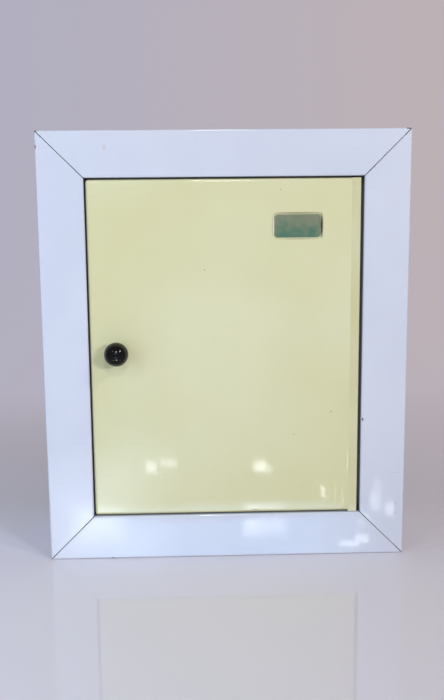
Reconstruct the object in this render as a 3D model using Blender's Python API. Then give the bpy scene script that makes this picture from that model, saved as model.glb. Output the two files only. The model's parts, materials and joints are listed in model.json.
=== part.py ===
# Wall medicine cabinet in sheet steel. A mitred white frame stands on the front of a folded box,
# and a cream pan door turns on two pins at its right edge.
# Metres, +Z up, front towards -Y. The origin is the middle of the underside.

import bpy
import bmesh
from math import cos, pi, radians, sin, tau
from mathutils import Matrix, Vector

MM = 0.001

# Overall size
CABINET_WIDTH = 370 * MM
CABINET_HEIGHT = 440 * MM
CABINET_DEPTH = 130 * MM

# Front frame: four folded channels with a stop flange behind the door
RAIL_WIDTH = 46 * MM
RAIL_SHEET = 1.2 * MM
RAIL_DEPTH = 17.7 * MM
RAIL_BEND = 1.7 * MM
RAIL_LIP = 12 * MM
STOP_FLANGE = 8 * MM
MITRE_GAP = 0.5 * MM

# Corner plates inside the frame
KEY_LEG = 60 * MM
KEY_WIDTH = 30 * MM
KEY_INSET = 6 * MM
KEY_SHEET = 1.5 * MM

# Box behind the frame
BOX_SHEET = 1 * MM
BOX_BEND = 1.5 * MM
BOX_FRONT_FLANGE = 12 * MM
BOX_REAR_FLANGE = 10 * MM

# Keyholes in the back panel, for hanging on two wall screws
KEYHOLE_SPACING = 240 * MM
KEYHOLE_DROP = 42 * MM
KEYHOLE_ENTRY = 11 * MM
KEYHOLE_SLOT = 5.6 * MM
KEYHOLE_TRAVEL = 13 * MM

# Shelves and the angles that carry them
SHELF_HEIGHTS = (150 * MM, 292 * MM)
SHELF_SHEET = 1 * MM
SHELF_HEM = 8 * MM
SHELF_SETBACK = 35 * MM
SHELF_BEND = 1.6 * MM
RUNNER_LEG = 8 * MM
RUNNER_SHEET = 1 * MM
RUNNER_END = 3 * MM

# Door pan and the turning stile on its right
DOOR_RECESS = 2.5 * MM
DOOR_DEPTH = 12.5 * MM
DOOR_SHEET = 1 * MM
DOOR_EDGE_RADIUS = 3 * MM
DOOR_GAP_LEFT = 1.4 * MM
DOOR_GAP_RIGHT = 3 * MM
DOOR_GAP_TOP = 1.8 * MM
DOOR_GAP_BOTTOM = 1 * MM
LINER_SHEET = 0.8 * MM
STILE_WIDTH = 9 * MM
STILE_SHEET = 1 * MM
STILE_BEND = 1.2 * MM
STILE_GAP_TOP = 1.8 * MM

# Pivots
PIN_RADIUS = 2 * MM
PIN_SETBACK = 4.5 * MM
PIN_REACH = 6 * MM
PIN_HEAD_RADIUS = 3 * MM
PIN_HEAD_HEIGHT = 1.2 * MM
PIVOT_BLOCK_HEIGHT = 14 * MM
PIVOT_BLOCK_DEPTH = 9.2 * MM
BUSH_WALL = 1.05 * MM
BUSH_FLANGE_RADIUS = 5 * MM
BUSH_FLANGE_HEIGHT = 1 * MM
BUSH_TAIL = 1.5 * MM

# Rivets between the pan and the stile
RIVET_RADIUS = 1.5 * MM
RIVET_HEAD_RADIUS = 2.8 * MM
RIVET_HEAD_HEIGHT = 1 * MM
RIVET_SHARES = (0.15, 0.5, 0.85)

# Ball knob, its screw and the spacer tube inside the door
KNOB_RADIUS = 12.2 * MM
KNOB_NECK_RADIUS = 6.5 * MM
KNOB_NECK_HEIGHT = 5 * MM
KNOB_FOOT_RADIUS = 7.5 * MM
KNOB_FROM_EDGE = 27.3 * MM
KNOB_HOLE_DEPTH = 12 * MM
KNOB_SCREW_RADIUS = 2 * MM
KNOB_SCREW_GRIP = 9 * MM
SPACER_WALL = 1.6 * MM

# Badge plate in its pressed recess, whose walls slope outwards
BADGE_WIDTH = 46 * MM
BADGE_HEIGHT = 22.8 * MM
BADGE_CORNER = 3 * MM
BADGE_RECESS = 1.6 * MM
BADGE_SLOPE = 1.9 * MM
BADGE_SHEET = 0.6 * MM
BADGE_FROM_STILE = 54.1 * MM
BADGE_FROM_TOP = 47.1 * MM

# Magnetic catch on the left stop flange
CATCH_HEIGHT = 42 * MM
CATCH_WIDTH = 19 * MM
CATCH_DEPTH = 11 * MM
CATCH_EDGE = 1.2 * MM
CATCH_SCREW_SPACING = 31 * MM
CATCH_SCREW_RADIUS = 1.5 * MM
MAGNET_WIDTH = 5 * MM
MAGNET_HEIGHT = 20 * MM
POLE_SHEET = 1.2 * MM
POLE_HEIGHT = 22 * MM
MAGNET_DEPTH = 8 * MM

# Rubber buffers in the left stop flange
BUFFER_RADIUS = 3.4 * MM
BUFFER_FROM_END = 25 * MM
BUFFER_STEM_RADIUS = 1.4 * MM
BUFFER_BULB_RADIUS = 2.2 * MM

# Screws that hold the frame to the box
FRAME_SCREW_RADIUS = 1.75 * MM
FRAME_SCREW_HEAD = 3.4 * MM
FRAME_SCREW_LENGTH = 8 * MM
FRAME_SCREW_SPACING = 220 * MM
SCREW_HEAD_HEIGHT = 2 * MM
SCREW_SLOT = 0.9 * MM

# Clearances
SEAT_GAP = 0.3 * MM
RUNNING_GAP = 0.15 * MM
HOLE_GAP = 0.3 * MM

# Facets
BEND_STEPS = 3
SCREW_SIDES = 16
PIN_SIDES = 24
KNOB_SIDES = 40

# Planes and lines that several pieces share
front_y = -CABINET_DEPTH / 2
back_y = CABINET_DEPTH / 2
rail_back_y = front_y + RAIL_DEPTH
stop_y = rail_back_y - RAIL_SHEET
box_front_y = rail_back_y + SEAT_GAP
opening_left = -CABINET_WIDTH / 2 + RAIL_WIDTH
opening_right = CABINET_WIDTH / 2 - RAIL_WIDTH
opening_bottom = RAIL_WIDTH
opening_top = CABINET_HEIGHT - RAIL_WIDTH
door_front_y = front_y + DOOR_RECESS
door_back_y = door_front_y + DOOR_DEPTH
stile_right = opening_right - DOOR_GAP_RIGHT
stile_left = stile_right - STILE_WIDTH
stile_bottom = opening_bottom + SEAT_GAP
stile_top = opening_top - STILE_GAP_TOP
pan_left = opening_left + DOOR_GAP_LEFT
pan_right = stile_left - SEAT_GAP
pan_bottom = opening_bottom + DOOR_GAP_BOTTOM
pan_top = opening_top - DOOR_GAP_TOP
pan_inner_y = door_front_y + DOOR_SHEET
liner_back_y = door_back_y - SEAT_GAP
liner_front_y = liner_back_y - LINER_SHEET
axis_x = (stile_left + stile_right) / 2
axis_y = door_front_y + PIN_SETBACK
knob_x = pan_left + KNOB_FROM_EDGE
knob_z = CABINET_HEIGHT / 2
back_panel_y = back_y - BOX_SHEET - SEAT_GAP
screw_line = RAIL_LIP / 2 + RAIL_SHEET / 2
catch_x = opening_left + STOP_FLANGE / 2


def clear_scene():
    for old in list(bpy.data.objects):
        bpy.data.objects.remove(old, do_unlink=True)


def make_material(name, colour, roughness, metallic=0.0):
    material = bpy.data.materials.new(name)
    material.use_nodes = True
    shader = material.node_tree.nodes["Principled BSDF"]
    shader.inputs["Base Color"].default_value = (*colour, 1.0)
    shader.inputs["Roughness"].default_value = roughness
    shader.inputs["Metallic"].default_value = metallic
    material.diffuse_color = (*colour, 1.0)
    return material


clear_scene()
frame_enamel = make_material("white_frame_enamel", (0.80, 0.81, 0.86), 0.16)
box_enamel = make_material("white_box_enamel", (0.78, 0.78, 0.80), 0.22)
door_enamel = make_material("cream_door_enamel", (0.73, 0.69, 0.44), 0.14)
shelf_enamel = make_material("white_shelf_enamel", (0.80, 0.80, 0.80), 0.25)
bare_steel = make_material("bright_steel", (0.55, 0.55, 0.56), 0.32, 1.0)
zinc_steel = make_material("zinc_plate", (0.60, 0.61, 0.62), 0.38, 1.0)
black_resin = make_material("black_knob_resin", (0.006, 0.006, 0.008), 0.08)
badge_foil = make_material("badge_aluminium", (0.36, 0.46, 0.41), 0.30, 0.8)
nylon = make_material("natural_nylon", (0.72, 0.70, 0.62), 0.45)
catch_plastic = make_material("catch_plastic", (0.60, 0.57, 0.50), 0.40)
ferrite = make_material("ferrite_magnet", (0.03, 0.03, 0.035), 0.60)
rubber = make_material("buffer_rubber", (0.10, 0.10, 0.10), 0.75)


def finish(name, bm, material, smooth=False):
    # Turn a bmesh into a named object with its faces pointing out.
    bmesh.ops.recalc_face_normals(bm, faces=bm.faces)
    if bm.calc_volume(signed=True) < 0:
        bmesh.ops.reverse_faces(bm, faces=bm.faces)
    mesh = bpy.data.meshes.new(name)
    bm.to_mesh(mesh)
    bm.free()
    if material:
        mesh.materials.append(material)
    if smooth:
        mesh.shade_smooth()
        mesh.set_sharp_from_angle(angle=radians(35))
    piece = bpy.data.objects.new(name, mesh)
    bpy.context.collection.objects.link(piece)
    return piece


def hide_as_tool(piece):
    piece.hide_render = True
    piece.display_type = "WIRE"
    return piece


def combine(target, tool, operation="DIFFERENCE"):
    boolean = target.modifiers.new(tool.name, "BOOLEAN")
    boolean.operation = operation
    boolean.solver = "EXACT"
    boolean.object = tool


def folded_outline(path, sheet, bend):
    # Outline of a sheet folded along a path of right angles. The path is the sheet's face
    # side, and the thickness lies on its left. The bend is the outer radius of each fold.
    face = [Vector(path[0])]
    inside = []
    heading = (Vector(path[1]) - Vector(path[0])).normalized()
    left = Vector((-heading.y, heading.x))
    inside.append(face[0] + left * sheet)
    for before, corner, after in zip(path, path[1:], path[2:]):
        heading = (Vector(corner) - Vector(before)).normalized()
        onward = (Vector(after) - Vector(corner)).normalized()
        turn = 1 if heading.x * onward.y - heading.y * onward.x > 0 else -1
        left = Vector((-heading.y, heading.x))
        face_radius = bend if turn > 0 else bend - sheet
        centre = Vector(corner) + (onward - heading) * face_radius
        for step in range(BEND_STEPS + 1):
            angle = turn * step / BEND_STEPS * pi / 2
            side = Matrix.Rotation(angle, 2) @ left * turn
            face.append(centre - side * face_radius)
            inside.append(centre - side * (face_radius - turn * sheet))
    heading = (Vector(path[-1]) - Vector(path[-2])).normalized()
    left = Vector((-heading.y, heading.x))
    face.append(Vector(path[-1]))
    inside.append(Vector(path[-1]) + left * sheet)
    return face + inside[::-1]


def prism(outline, first_end, second_end):
    # A closed solid between two copies of an outline. Each end function places a 2-D point.
    bm = bmesh.new()
    near = [bm.verts.new(first_end(point)) for point in outline]
    far = [bm.verts.new(second_end(point)) for point in outline]
    bm.faces.new(near)
    bm.faces.new(far)
    for i in range(len(outline)):
        j = (i + 1) % len(outline)
        bm.faces.new((near[i], near[j], far[j], far[i]))
    return bm


def side_place(side, across, y, along):
    # A point on one side of the cabinet: inwards from its outer face, and along the side.
    if side == "top":
        return Vector((along, y, CABINET_HEIGHT - across))
    if side == "bottom":
        return Vector((along, y, across))
    if side == "left":
        return Vector((-CABINET_WIDTH / 2 + across, y, CABINET_HEIGHT / 2 + along))
    return Vector((CABINET_WIDTH / 2 - across, y, CABINET_HEIGHT / 2 + along))


def half_run(side):
    return CABINET_WIDTH / 2 if side in ("top", "bottom") else CABINET_HEIGHT / 2


def mitred_fold(name, side, outline, gap, material):
    # A folded sheet along one side, cut at 45 degrees where it meets its neighbours.
    reach = half_run(side) - gap * 0.5 ** 0.5
    bm = prism(
        outline,
        lambda point: side_place(side, point.x, point.y, point.x - reach),
        lambda point: side_place(side, point.x, point.y, reach - point.x),
    )
    return finish(name, bm, material, smooth=True)


def block(name, low, high, material, edge=0.0):
    # A rectangular block between two corners, with its edges rounded where an edge is given.
    bm = bmesh.new()
    low = Vector(low)
    high = Vector(high)
    bmesh.ops.create_cube(bm, size=1)
    for vert in bm.verts:
        vert.co = Vector([low[i] if vert.co[i] < 0 else high[i] for i in range(3)])
    if edge:
        bmesh.ops.bevel(
            bm, geom=bm.edges[:], offset=edge, segments=2, profile=0.5, affect="EDGES", material=-1
        )
    return finish(name, bm, material)


def turned(name, profile, foot, direction, material, sides=SCREW_SIDES):
    # A turned piece. The profile is (radius, height) pairs, and a closed ring has no point
    # on the axis.
    bm = bmesh.new()
    verts = [bm.verts.new((radius, 0, height)) for radius, height in profile]
    edges = [bm.edges.new(pair) for pair in zip(verts, verts[1:])]
    if min(radius for radius, height in profile) > 0:
        edges.append(bm.edges.new((verts[-1], verts[0])))
    bmesh.ops.spin(
        bm, geom=verts + edges, cent=(0, 0, 0), axis=(0, 0, 1), angle=tau, steps=sides, use_merge=True
    )
    bmesh.ops.remove_doubles(bm, verts=bm.verts, dist=0.00001)
    turn = Vector((0, 0, 1)).rotation_difference(Vector(direction)).to_matrix().to_4x4()
    bm.transform(Matrix.Translation(foot) @ turn)
    return finish(name, bm, material, smooth=True)


def hole_tool(name, places, radius, direction, length):
    # Round cutters, one at each place, each centred on its place.
    bm = bmesh.new()
    turn = Vector((0, 0, 1)).rotation_difference(Vector(direction)).to_matrix().to_4x4()
    for place in places:
        bmesh.ops.create_cone(
            bm,
            cap_ends=True,
            segments=SCREW_SIDES,
            radius1=radius,
            radius2=radius,
            depth=length,
            matrix=Matrix.Translation(place) @ turn,
        )
    return hide_as_tool(finish(name, bm, None))


def slotted_screw(name, head_seat, direction, radius, length, head_radius, material):
    # A pan-head screw. It stands on its head's seat, and the shank runs along the direction.
    height = SCREW_HEAD_HEIGHT
    profile = [
        (0, length),
        (radius * 0.6, length),
        (radius, length - radius),
        (radius, 0),
        (head_radius, 0),
        (head_radius, -height * 0.45),
        (head_radius * 0.8, -height * 0.85),
        (head_radius * 0.4, -height),
        (0, -height),
    ]
    screw = turned(name, profile, head_seat, direction, material)
    forward = Vector(direction)
    centre = Vector(head_seat) - forward * height
    slot_half = Vector((SCREW_SLOT / 2, SCREW_SLOT / 2, head_radius + SCREW_SLOT))
    slot = hide_as_tool(block(name + "_slot_tool", centre - slot_half, centre + slot_half, None))
    combine(screw, slot)
    return screw


# Front frame

rail_outline = folded_outline(
    [
        (RAIL_LIP, rail_back_y),
        (0, rail_back_y),
        (0, front_y),
        (RAIL_WIDTH, front_y),
        (RAIL_WIDTH, stop_y),
        (RAIL_WIDTH + STOP_FLANGE, stop_y),
    ],
    RAIL_SHEET,
    RAIL_BEND,
)
sides = ("top", "bottom", "left", "right")
rails = {}
for side in sides:
    rails[side] = mitred_fold("rail_" + side, side, rail_outline, MITRE_GAP, frame_enamel)


def corner_key(name, side_x, side_z):
    # A flat steel angle behind the front faces, which ties two rails at their mitre.
    outer = KEY_INSET
    inner = KEY_INSET + KEY_WIDTH
    outline = [
        (outer, outer),
        (KEY_LEG, outer),
        (KEY_LEG, inner),
        (inner, inner),
        (inner, KEY_LEG),
        (outer, KEY_LEG),
    ]
    near = front_y + RAIL_SHEET + SEAT_GAP
    far = near + KEY_SHEET

    def place(point, y):
        x = side_x * (CABINET_WIDTH / 2 - point[0])
        z = CABINET_HEIGHT - point[1] if side_z > 0 else point[1]
        return (x, y, z)

    bm = prism(outline, lambda point: place(point, near), lambda point: place(point, far))
    return finish(name, bm, zinc_steel)


corner_key("corner_key_top_left", -1, 1)
corner_key("corner_key_top_right", 1, 1)
corner_key("corner_key_bottom_left", -1, -1)
corner_key("corner_key_bottom_right", 1, -1)

# Box

box_outline = folded_outline(
    [
        (BOX_REAR_FLANGE, back_y),
        (0, back_y),
        (0, box_front_y),
        (BOX_FRONT_FLANGE, box_front_y),
    ],
    BOX_SHEET,
    BOX_BEND,
)
panels = {side: mitred_fold("box_" + side, side, box_outline, SEAT_GAP, box_enamel) for side in sides}

back_margin = BOX_SHEET + SEAT_GAP
back_panel = block(
    "back_panel",
    (-CABINET_WIDTH / 2 + back_margin, back_panel_y - BOX_SHEET, back_margin),
    (CABINET_WIDTH / 2 - back_margin, back_panel_y, CABINET_HEIGHT - back_margin),
    box_enamel,
)


def keyhole_tool(name, x):
    # Round entry with a narrower slot above it, in which the wall screw's shank rests.
    entry_z = CABINET_HEIGHT - KEYHOLE_DROP
    entry_radius = KEYHOLE_ENTRY / 2
    slot_radius = KEYHOLE_SLOT / 2
    meet = (entry_radius ** 2 - slot_radius ** 2) ** 0.5
    outline = []
    start = Vector((slot_radius, meet)).angle_signed(Vector((1, 0)))
    steps = 20
    for step in range(steps + 1):
        angle = start - step / steps * (2 * start + pi)
        outline.append((entry_radius * cos(angle), entry_radius * sin(angle)))
    for step in range(9):
        angle = pi - step / 8 * pi
        outline.append((slot_radius * cos(angle), KEYHOLE_TRAVEL + slot_radius * sin(angle)))
    near = back_panel_y - 4 * BOX_SHEET
    far = back_panel_y + 3 * BOX_SHEET
    bm = prism(
        outline,
        lambda point: (x + point[0], near, entry_z + point[1]),
        lambda point: (x + point[0], far, entry_z + point[1]),
    )
    return hide_as_tool(finish(name, bm, None))


for label, x in (("left", -KEYHOLE_SPACING / 2), ("right", KEYHOLE_SPACING / 2)):
    combine(back_panel, keyhole_tool("keyhole_tool_" + label, x))

# Frame screws, from inside the box through its front flange into the rail's lip

for side in sides:
    places = []
    for number, along in enumerate((-FRAME_SCREW_SPACING / 2, FRAME_SCREW_SPACING / 2), start=1):
        seat = side_place(side, screw_line, box_front_y + BOX_SHEET + SEAT_GAP, along)
        places.append(side_place(side, screw_line, box_front_y, along))
        slotted_screw(
            f"frame_screw_{side}_{number}",
            seat,
            (0, -1, 0),
            FRAME_SCREW_RADIUS,
            FRAME_SCREW_LENGTH,
            FRAME_SCREW_HEAD,
            zinc_steel,
        )
    holes = hole_tool("hole_tool_" + side, places, FRAME_SCREW_RADIUS + HOLE_GAP, (0, 1, 0), 8 * RAIL_SHEET)
    combine(rails[side], holes)
    combine(panels[side], holes)

# Shelves

shelf_half = CABINET_WIDTH / 2 - BOX_SHEET - 2 * SEAT_GAP
shelf_front = front_y + SHELF_SETBACK
shelf_back = back_panel_y - BOX_SHEET - SEAT_GAP

for label, top in zip(("lower", "upper"), SHELF_HEIGHTS):
    outline = folded_outline(
        [(shelf_back, top), (shelf_front, top), (shelf_front, top - SHELF_HEM)], SHELF_SHEET, SHELF_BEND
    )
    shelf = prism(
        outline,
        lambda point: (-shelf_half, point.x, point.y),
        lambda point: (shelf_half, point.x, point.y),
    )
    finish("shelf_" + label, shelf, shelf_enamel, smooth=True)
    under = top - SHELF_SHEET - SEAT_GAP
    for hand, side in (("left", -1), ("right", 1)):
        wall = side * (CABINET_WIDTH / 2 - BOX_SHEET - SEAT_GAP)
        angle_outline = folded_outline(
            [(RUNNER_LEG, 0), (0, 0), (0, -RUNNER_LEG)], RUNNER_SHEET, SHELF_BEND
        )
        near = shelf_front + SHELF_SHEET + RUNNER_END
        far = shelf_back - RUNNER_END
        runner = prism(
            angle_outline,
            lambda point: (wall - side * point.x, near, under + point.y),
            lambda point: (wall - side * point.x, far, under + point.y),
        )
        finish(f"runner_{label}_{hand}", runner, shelf_enamel, smooth=True)


# Door pan

def pan_block(name, inset, front, back, radius, material, flat=False):
    # A block whose front edges and corners are rounded, as a drawn pan is. Its right side is
    # cut square, where it closes against the stile. A flat one keeps its front edges sharp.
    bm = bmesh.new()
    bmesh.ops.create_cube(bm, size=1)
    right = pan_right - inset
    low = Vector((pan_left + inset, front, pan_bottom + inset))
    high = Vector((right + 2 * radius, back, pan_top - inset))
    for vert in bm.verts:
        vert.co = Vector([low[i] if vert.co[i] < 0 else high[i] for i in range(3)])
    rounded = []
    for edge in bm.edges:
        depths = [vert.co.y for vert in edge.verts]
        runs_back = max(depths) - min(depths) > (back - front) / 2
        if runs_back or (max(depths) < (front + back) / 2 and not flat):
            rounded.append(edge)
    bmesh.ops.bevel(
        bm, geom=rounded, offset=radius, segments=4, profile=0.5, affect="EDGES", material=-1
    )
    square = bmesh.ops.bisect_plane(
        bm,
        geom=bm.verts[:] + bm.edges[:] + bm.faces[:],
        plane_co=(right, 0, 0),
        plane_no=(1, 0, 0),
        clear_outer=True,
    )
    rim = [item for item in square["geom_cut"] if isinstance(item, bmesh.types.BMEdge)]
    bmesh.ops.contextual_create(bm, geom=rim)
    return finish(name, bm, material, smooth=True)


door_pan = pan_block("door_pan", 0, door_front_y, door_back_y, DOOR_EDGE_RADIUS, door_enamel)
pan_hollow = pan_block(
    "pan_hollow_tool",
    DOOR_SHEET,
    pan_inner_y,
    door_back_y + DOOR_DEPTH,
    DOOR_EDGE_RADIUS - DOOR_SHEET,
    None,
)
combine(door_pan, hide_as_tool(pan_hollow))

badge_x = pan_right - BADGE_FROM_STILE
badge_z = pan_top - BADGE_FROM_TOP


def badge_outline(grow):
    # The badge plate's rounded outline, larger all round by the given amount.
    half_x = BADGE_WIDTH / 2 + grow
    half_z = BADGE_HEIGHT / 2 + grow
    radius = BADGE_CORNER + grow
    outline = []
    for quarter in range(4):
        centre_x = (half_x - radius) * (1 if quarter in (0, 3) else -1)
        centre_z = (half_z - radius) * (1 if quarter in (0, 1) else -1)
        for step in range(6):
            angle = (quarter + step / 5) * pi / 2
            outline.append((centre_x + radius * cos(angle), centre_z + radius * sin(angle)))
    return outline


def badge_slab(name, near, near_grow, far, far_grow, material):
    # A flat piece between two planes, with the badge's outline grown at each of them.
    bm = prism(
        list(zip(badge_outline(near_grow), badge_outline(far_grow))),
        lambda pair: (badge_x + pair[0][0], near, badge_z + pair[0][1]),
        lambda pair: (badge_x + pair[1][0], far, badge_z + pair[1][1]),
    )
    return finish(name, bm, material, smooth=True)


recess_floor_y = door_front_y + BADGE_RECESS
rim_grow = SEAT_GAP + BADGE_SLOPE
dish = badge_slab(
    "badge_dish_tool",
    door_front_y + DOOR_SHEET / 2,
    rim_grow + DOOR_SHEET,
    recess_floor_y + DOOR_SHEET,
    SEAT_GAP + DOOR_SHEET,
    None,
)
recess = badge_slab("badge_recess_tool", door_front_y, rim_grow, recess_floor_y, SEAT_GAP, None)
recess_mouth = badge_slab(
    "badge_mouth_tool", door_front_y - DOOR_SHEET, rim_grow, door_front_y + SEAT_GAP / 10, rim_grow, None
)
combine(door_pan, hide_as_tool(dish), "UNION")
combine(door_pan, hide_as_tool(recess))
combine(door_pan, hide_as_tool(recess_mouth))
plate_back_y = recess_floor_y - SEAT_GAP
badge_slab("badge_plate", plate_back_y - BADGE_SHEET, 0, plate_back_y, 0, badge_foil)

liner_margin = DOOR_SHEET + SEAT_GAP
door_liner = pan_block(
    "door_liner",
    liner_margin,
    liner_front_y,
    liner_back_y,
    DOOR_EDGE_RADIUS - liner_margin,
    shelf_enamel,
    flat=True,
)

# Knob

knob_seat_y = door_front_y - SEAT_GAP
ball_height = KNOB_NECK_HEIGHT + (KNOB_RADIUS ** 2 - KNOB_NECK_RADIUS ** 2) ** 0.5
bore_radius = KNOB_SCREW_RADIUS + HOLE_GAP


def knob_profile():
    # Blind bore, small foot, neck and ball, from the bore's end round to the ball's pole.
    points = [
        (0, KNOB_HOLE_DEPTH),
        (bore_radius, KNOB_HOLE_DEPTH),
        (bore_radius, 0),
        (KNOB_FOOT_RADIUS, 0),
        (KNOB_FOOT_RADIUS, KNOB_NECK_HEIGHT * 0.3),
        (KNOB_NECK_RADIUS, KNOB_NECK_HEIGHT * 0.6),
    ]
    start = Vector((KNOB_NECK_RADIUS, KNOB_NECK_HEIGHT - ball_height)).angle_signed(Vector((1, 0)))
    steps = 16
    for step in range(steps):
        angle = start + step / steps * (pi / 2 - start)
        points.append((KNOB_RADIUS * cos(angle), ball_height + KNOB_RADIUS * sin(angle)))
    points.append((0, ball_height + KNOB_RADIUS))
    return points


turned("knob", knob_profile(), (knob_x, knob_seat_y, knob_z), (0, -1, 0), black_resin, KNOB_SIDES)

knob_screw_seat = liner_back_y + SEAT_GAP
slotted_screw(
    "knob_screw",
    (knob_x, knob_screw_seat, knob_z),
    (0, -1, 0),
    KNOB_SCREW_RADIUS,
    knob_screw_seat - knob_seat_y + KNOB_SCREW_GRIP,
    KNOB_SCREW_RADIUS * 2,
    zinc_steel,
)
spacer_start = liner_front_y - SEAT_GAP
spacer_length = spacer_start - pan_inner_y - SEAT_GAP
turned(
    "knob_spacer",
    [
        (bore_radius, 0),
        (bore_radius + SPACER_WALL, 0),
        (bore_radius + SPACER_WALL, spacer_length),
        (bore_radius, spacer_length),
    ],
    (knob_x, spacer_start, knob_z),
    (0, -1, 0),
    zinc_steel,
)
knob_hole = hole_tool(
    "knob_hole_tool", [(knob_x, liner_front_y, knob_z)], bore_radius, (0, 1, 0), 4 * DOOR_DEPTH
)
combine(door_pan, knob_hole)
combine(door_liner, knob_hole)

# Turning stile at the door's right edge

stile_outline = folded_outline(
    [
        (stile_left, door_back_y),
        (stile_left, door_front_y),
        (stile_right, door_front_y),
        (stile_right, door_back_y),
    ],
    STILE_SHEET,
    STILE_BEND,
)
stile = finish(
    "hinge_stile",
    prism(
        stile_outline,
        lambda point: (point.x, point.y, stile_bottom),
        lambda point: (point.x, point.y, stile_top),
    ),
    door_enamel,
    smooth=True,
)

rivet_places = []
for number, share in enumerate(RIVET_SHARES, start=1):
    height = pan_bottom + share * (pan_top - pan_bottom)
    middle_y = (door_front_y + liner_front_y) / 2
    grip = 2 * SEAT_GAP + DOOR_SHEET + SEAT_GAP + STILE_SHEET
    start_x = pan_right - DOOR_SHEET - SEAT_GAP
    rivet_places.append((pan_right, middle_y, height))
    turned(
        f"stile_rivet_{number}",
        [
            (0, -RIVET_HEAD_HEIGHT),
            (RIVET_HEAD_RADIUS * 0.7, -RIVET_HEAD_HEIGHT),
            (RIVET_HEAD_RADIUS, 0),
            (RIVET_RADIUS, 0),
            (RIVET_RADIUS, grip),
            (RIVET_HEAD_RADIUS, grip),
            (RIVET_HEAD_RADIUS * 0.7, grip + RIVET_HEAD_HEIGHT),
            (0, grip + RIVET_HEAD_HEIGHT),
        ],
        (start_x, middle_y, height),
        (1, 0, 0),
        zinc_steel,
    )
rivet_holes = hole_tool("rivet_hole_tool", rivet_places, RIVET_RADIUS + HOLE_GAP, (1, 0, 0), STILE_WIDTH)
combine(door_pan, rivet_holes)
combine(stile, rivet_holes)

# Pivots: a block in each end of the stile, a pin in the block and a bush in the rail

bush_bore = (PIN_RADIUS + RUNNING_GAP) / cos(pi / PIN_SIDES)
bush_radius = bush_bore + BUSH_WALL
bush_hole_radius = bush_radius + HOLE_GAP

for label, end_z, way, edge_z in (
    ("top", stile_top, 1, opening_top),
    ("bottom", stile_bottom, -1, opening_bottom),
):
    outward = (0, 0, way)
    block_end = end_z - way * SEAT_GAP
    block_start = block_end - way * PIVOT_BLOCK_HEIGHT
    block_x = STILE_WIDTH / 2 - STILE_SHEET - SEAT_GAP
    block_front = door_front_y + STILE_SHEET + SEAT_GAP
    pivot = block(
        "pivot_block_" + label,
        (axis_x - block_x, block_front, min(block_start, block_end)),
        (axis_x + block_x, block_front + PIVOT_BLOCK_DEPTH, max(block_start, block_end)),
        zinc_steel,
    )
    middle = (axis_x, axis_y, (block_start + block_end) / 2)
    pivot_hole = hole_tool(
        "pivot_hole_tool_" + label, [middle], PIN_RADIUS + HOLE_GAP, (0, 0, 1), 2 * PIVOT_BLOCK_HEIGHT
    )
    combine(pivot, pivot_hole)
    head_seat = block_start - way * SEAT_GAP
    pin_length = abs(edge_z + way * (RAIL_SHEET + PIN_REACH) - head_seat)
    turned(
        "hinge_pin_" + label,
        [
            (0, -PIN_HEAD_HEIGHT),
            (PIN_HEAD_RADIUS, -PIN_HEAD_HEIGHT),
            (PIN_HEAD_RADIUS, 0),
            (PIN_RADIUS, 0),
            (PIN_RADIUS, pin_length - PIN_RADIUS / 2),
            (PIN_RADIUS / 2, pin_length),
            (0, pin_length),
        ],
        (axis_x, axis_y, head_seat),
        outward,
        bare_steel,
        PIN_SIDES,
    )
    flange_start = RAIL_SHEET + SEAT_GAP
    flange_end = flange_start + BUSH_FLANGE_HEIGHT
    turned(
        "hinge_bush_" + label,
        [
            (bush_bore, 0),
            (bush_radius, 0),
            (bush_radius, flange_start),
            (BUSH_FLANGE_RADIUS, flange_start),
            (BUSH_FLANGE_RADIUS, flange_end),
            (bush_radius, flange_end),
            (bush_radius, flange_end + BUSH_TAIL),
            (bush_bore, flange_end + BUSH_TAIL),
        ],
        (axis_x, axis_y, edge_z),
        outward,
        nylon,
        PIN_SIDES,
    )
    combine(
        rails[label],
        hole_tool(
            "bush_hole_tool_" + label, [(axis_x, axis_y, edge_z)], bush_hole_radius, (0, 0, 1), 6 * RAIL_SHEET
        ),
    )

# Magnetic catch behind the left stop flange

catch_front_y = rail_back_y + SEAT_GAP
catch_left = opening_left + SEAT_GAP
catch_right = catch_left + CATCH_WIDTH
housing = block(
    "catch_housing",
    (catch_left, catch_front_y, knob_z - CATCH_HEIGHT / 2),
    (catch_right, catch_front_y + CATCH_DEPTH, knob_z + CATCH_HEIGHT / 2),
    catch_plastic,
    CATCH_EDGE,
)
magnet_x = (opening_left + STOP_FLANGE + catch_right) / 2
stack_half = MAGNET_WIDTH / 2 + SEAT_GAP + POLE_SHEET
pole_front_y = door_back_y
pocket_back_y = catch_front_y + MAGNET_DEPTH
pocket = block(
    "catch_pocket_tool",
    (magnet_x - stack_half - SEAT_GAP, catch_front_y - CATCH_DEPTH, knob_z - POLE_HEIGHT / 2 - SEAT_GAP),
    (magnet_x + stack_half + SEAT_GAP, pocket_back_y, knob_z + POLE_HEIGHT / 2 + SEAT_GAP),
    None,
)
combine(housing, hide_as_tool(pocket))
stack_back_y = pocket_back_y - SEAT_GAP
block(
    "catch_magnet",
    (magnet_x - MAGNET_WIDTH / 2, catch_front_y + POLE_SHEET, knob_z - MAGNET_HEIGHT / 2),
    (magnet_x + MAGNET_WIDTH / 2, stack_back_y, knob_z + MAGNET_HEIGHT / 2),
    ferrite,
)
for label, side in (("left", -1), ("right", 1)):
    inner = magnet_x + side * (MAGNET_WIDTH / 2 + SEAT_GAP)
    outer = inner + side * POLE_SHEET
    block(
        "catch_pole_" + label,
        (min(inner, outer), pole_front_y, knob_z - POLE_HEIGHT / 2),
        (max(inner, outer), stack_back_y, knob_z + POLE_HEIGHT / 2),
        bare_steel,
    )
catch_holes = []
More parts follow.
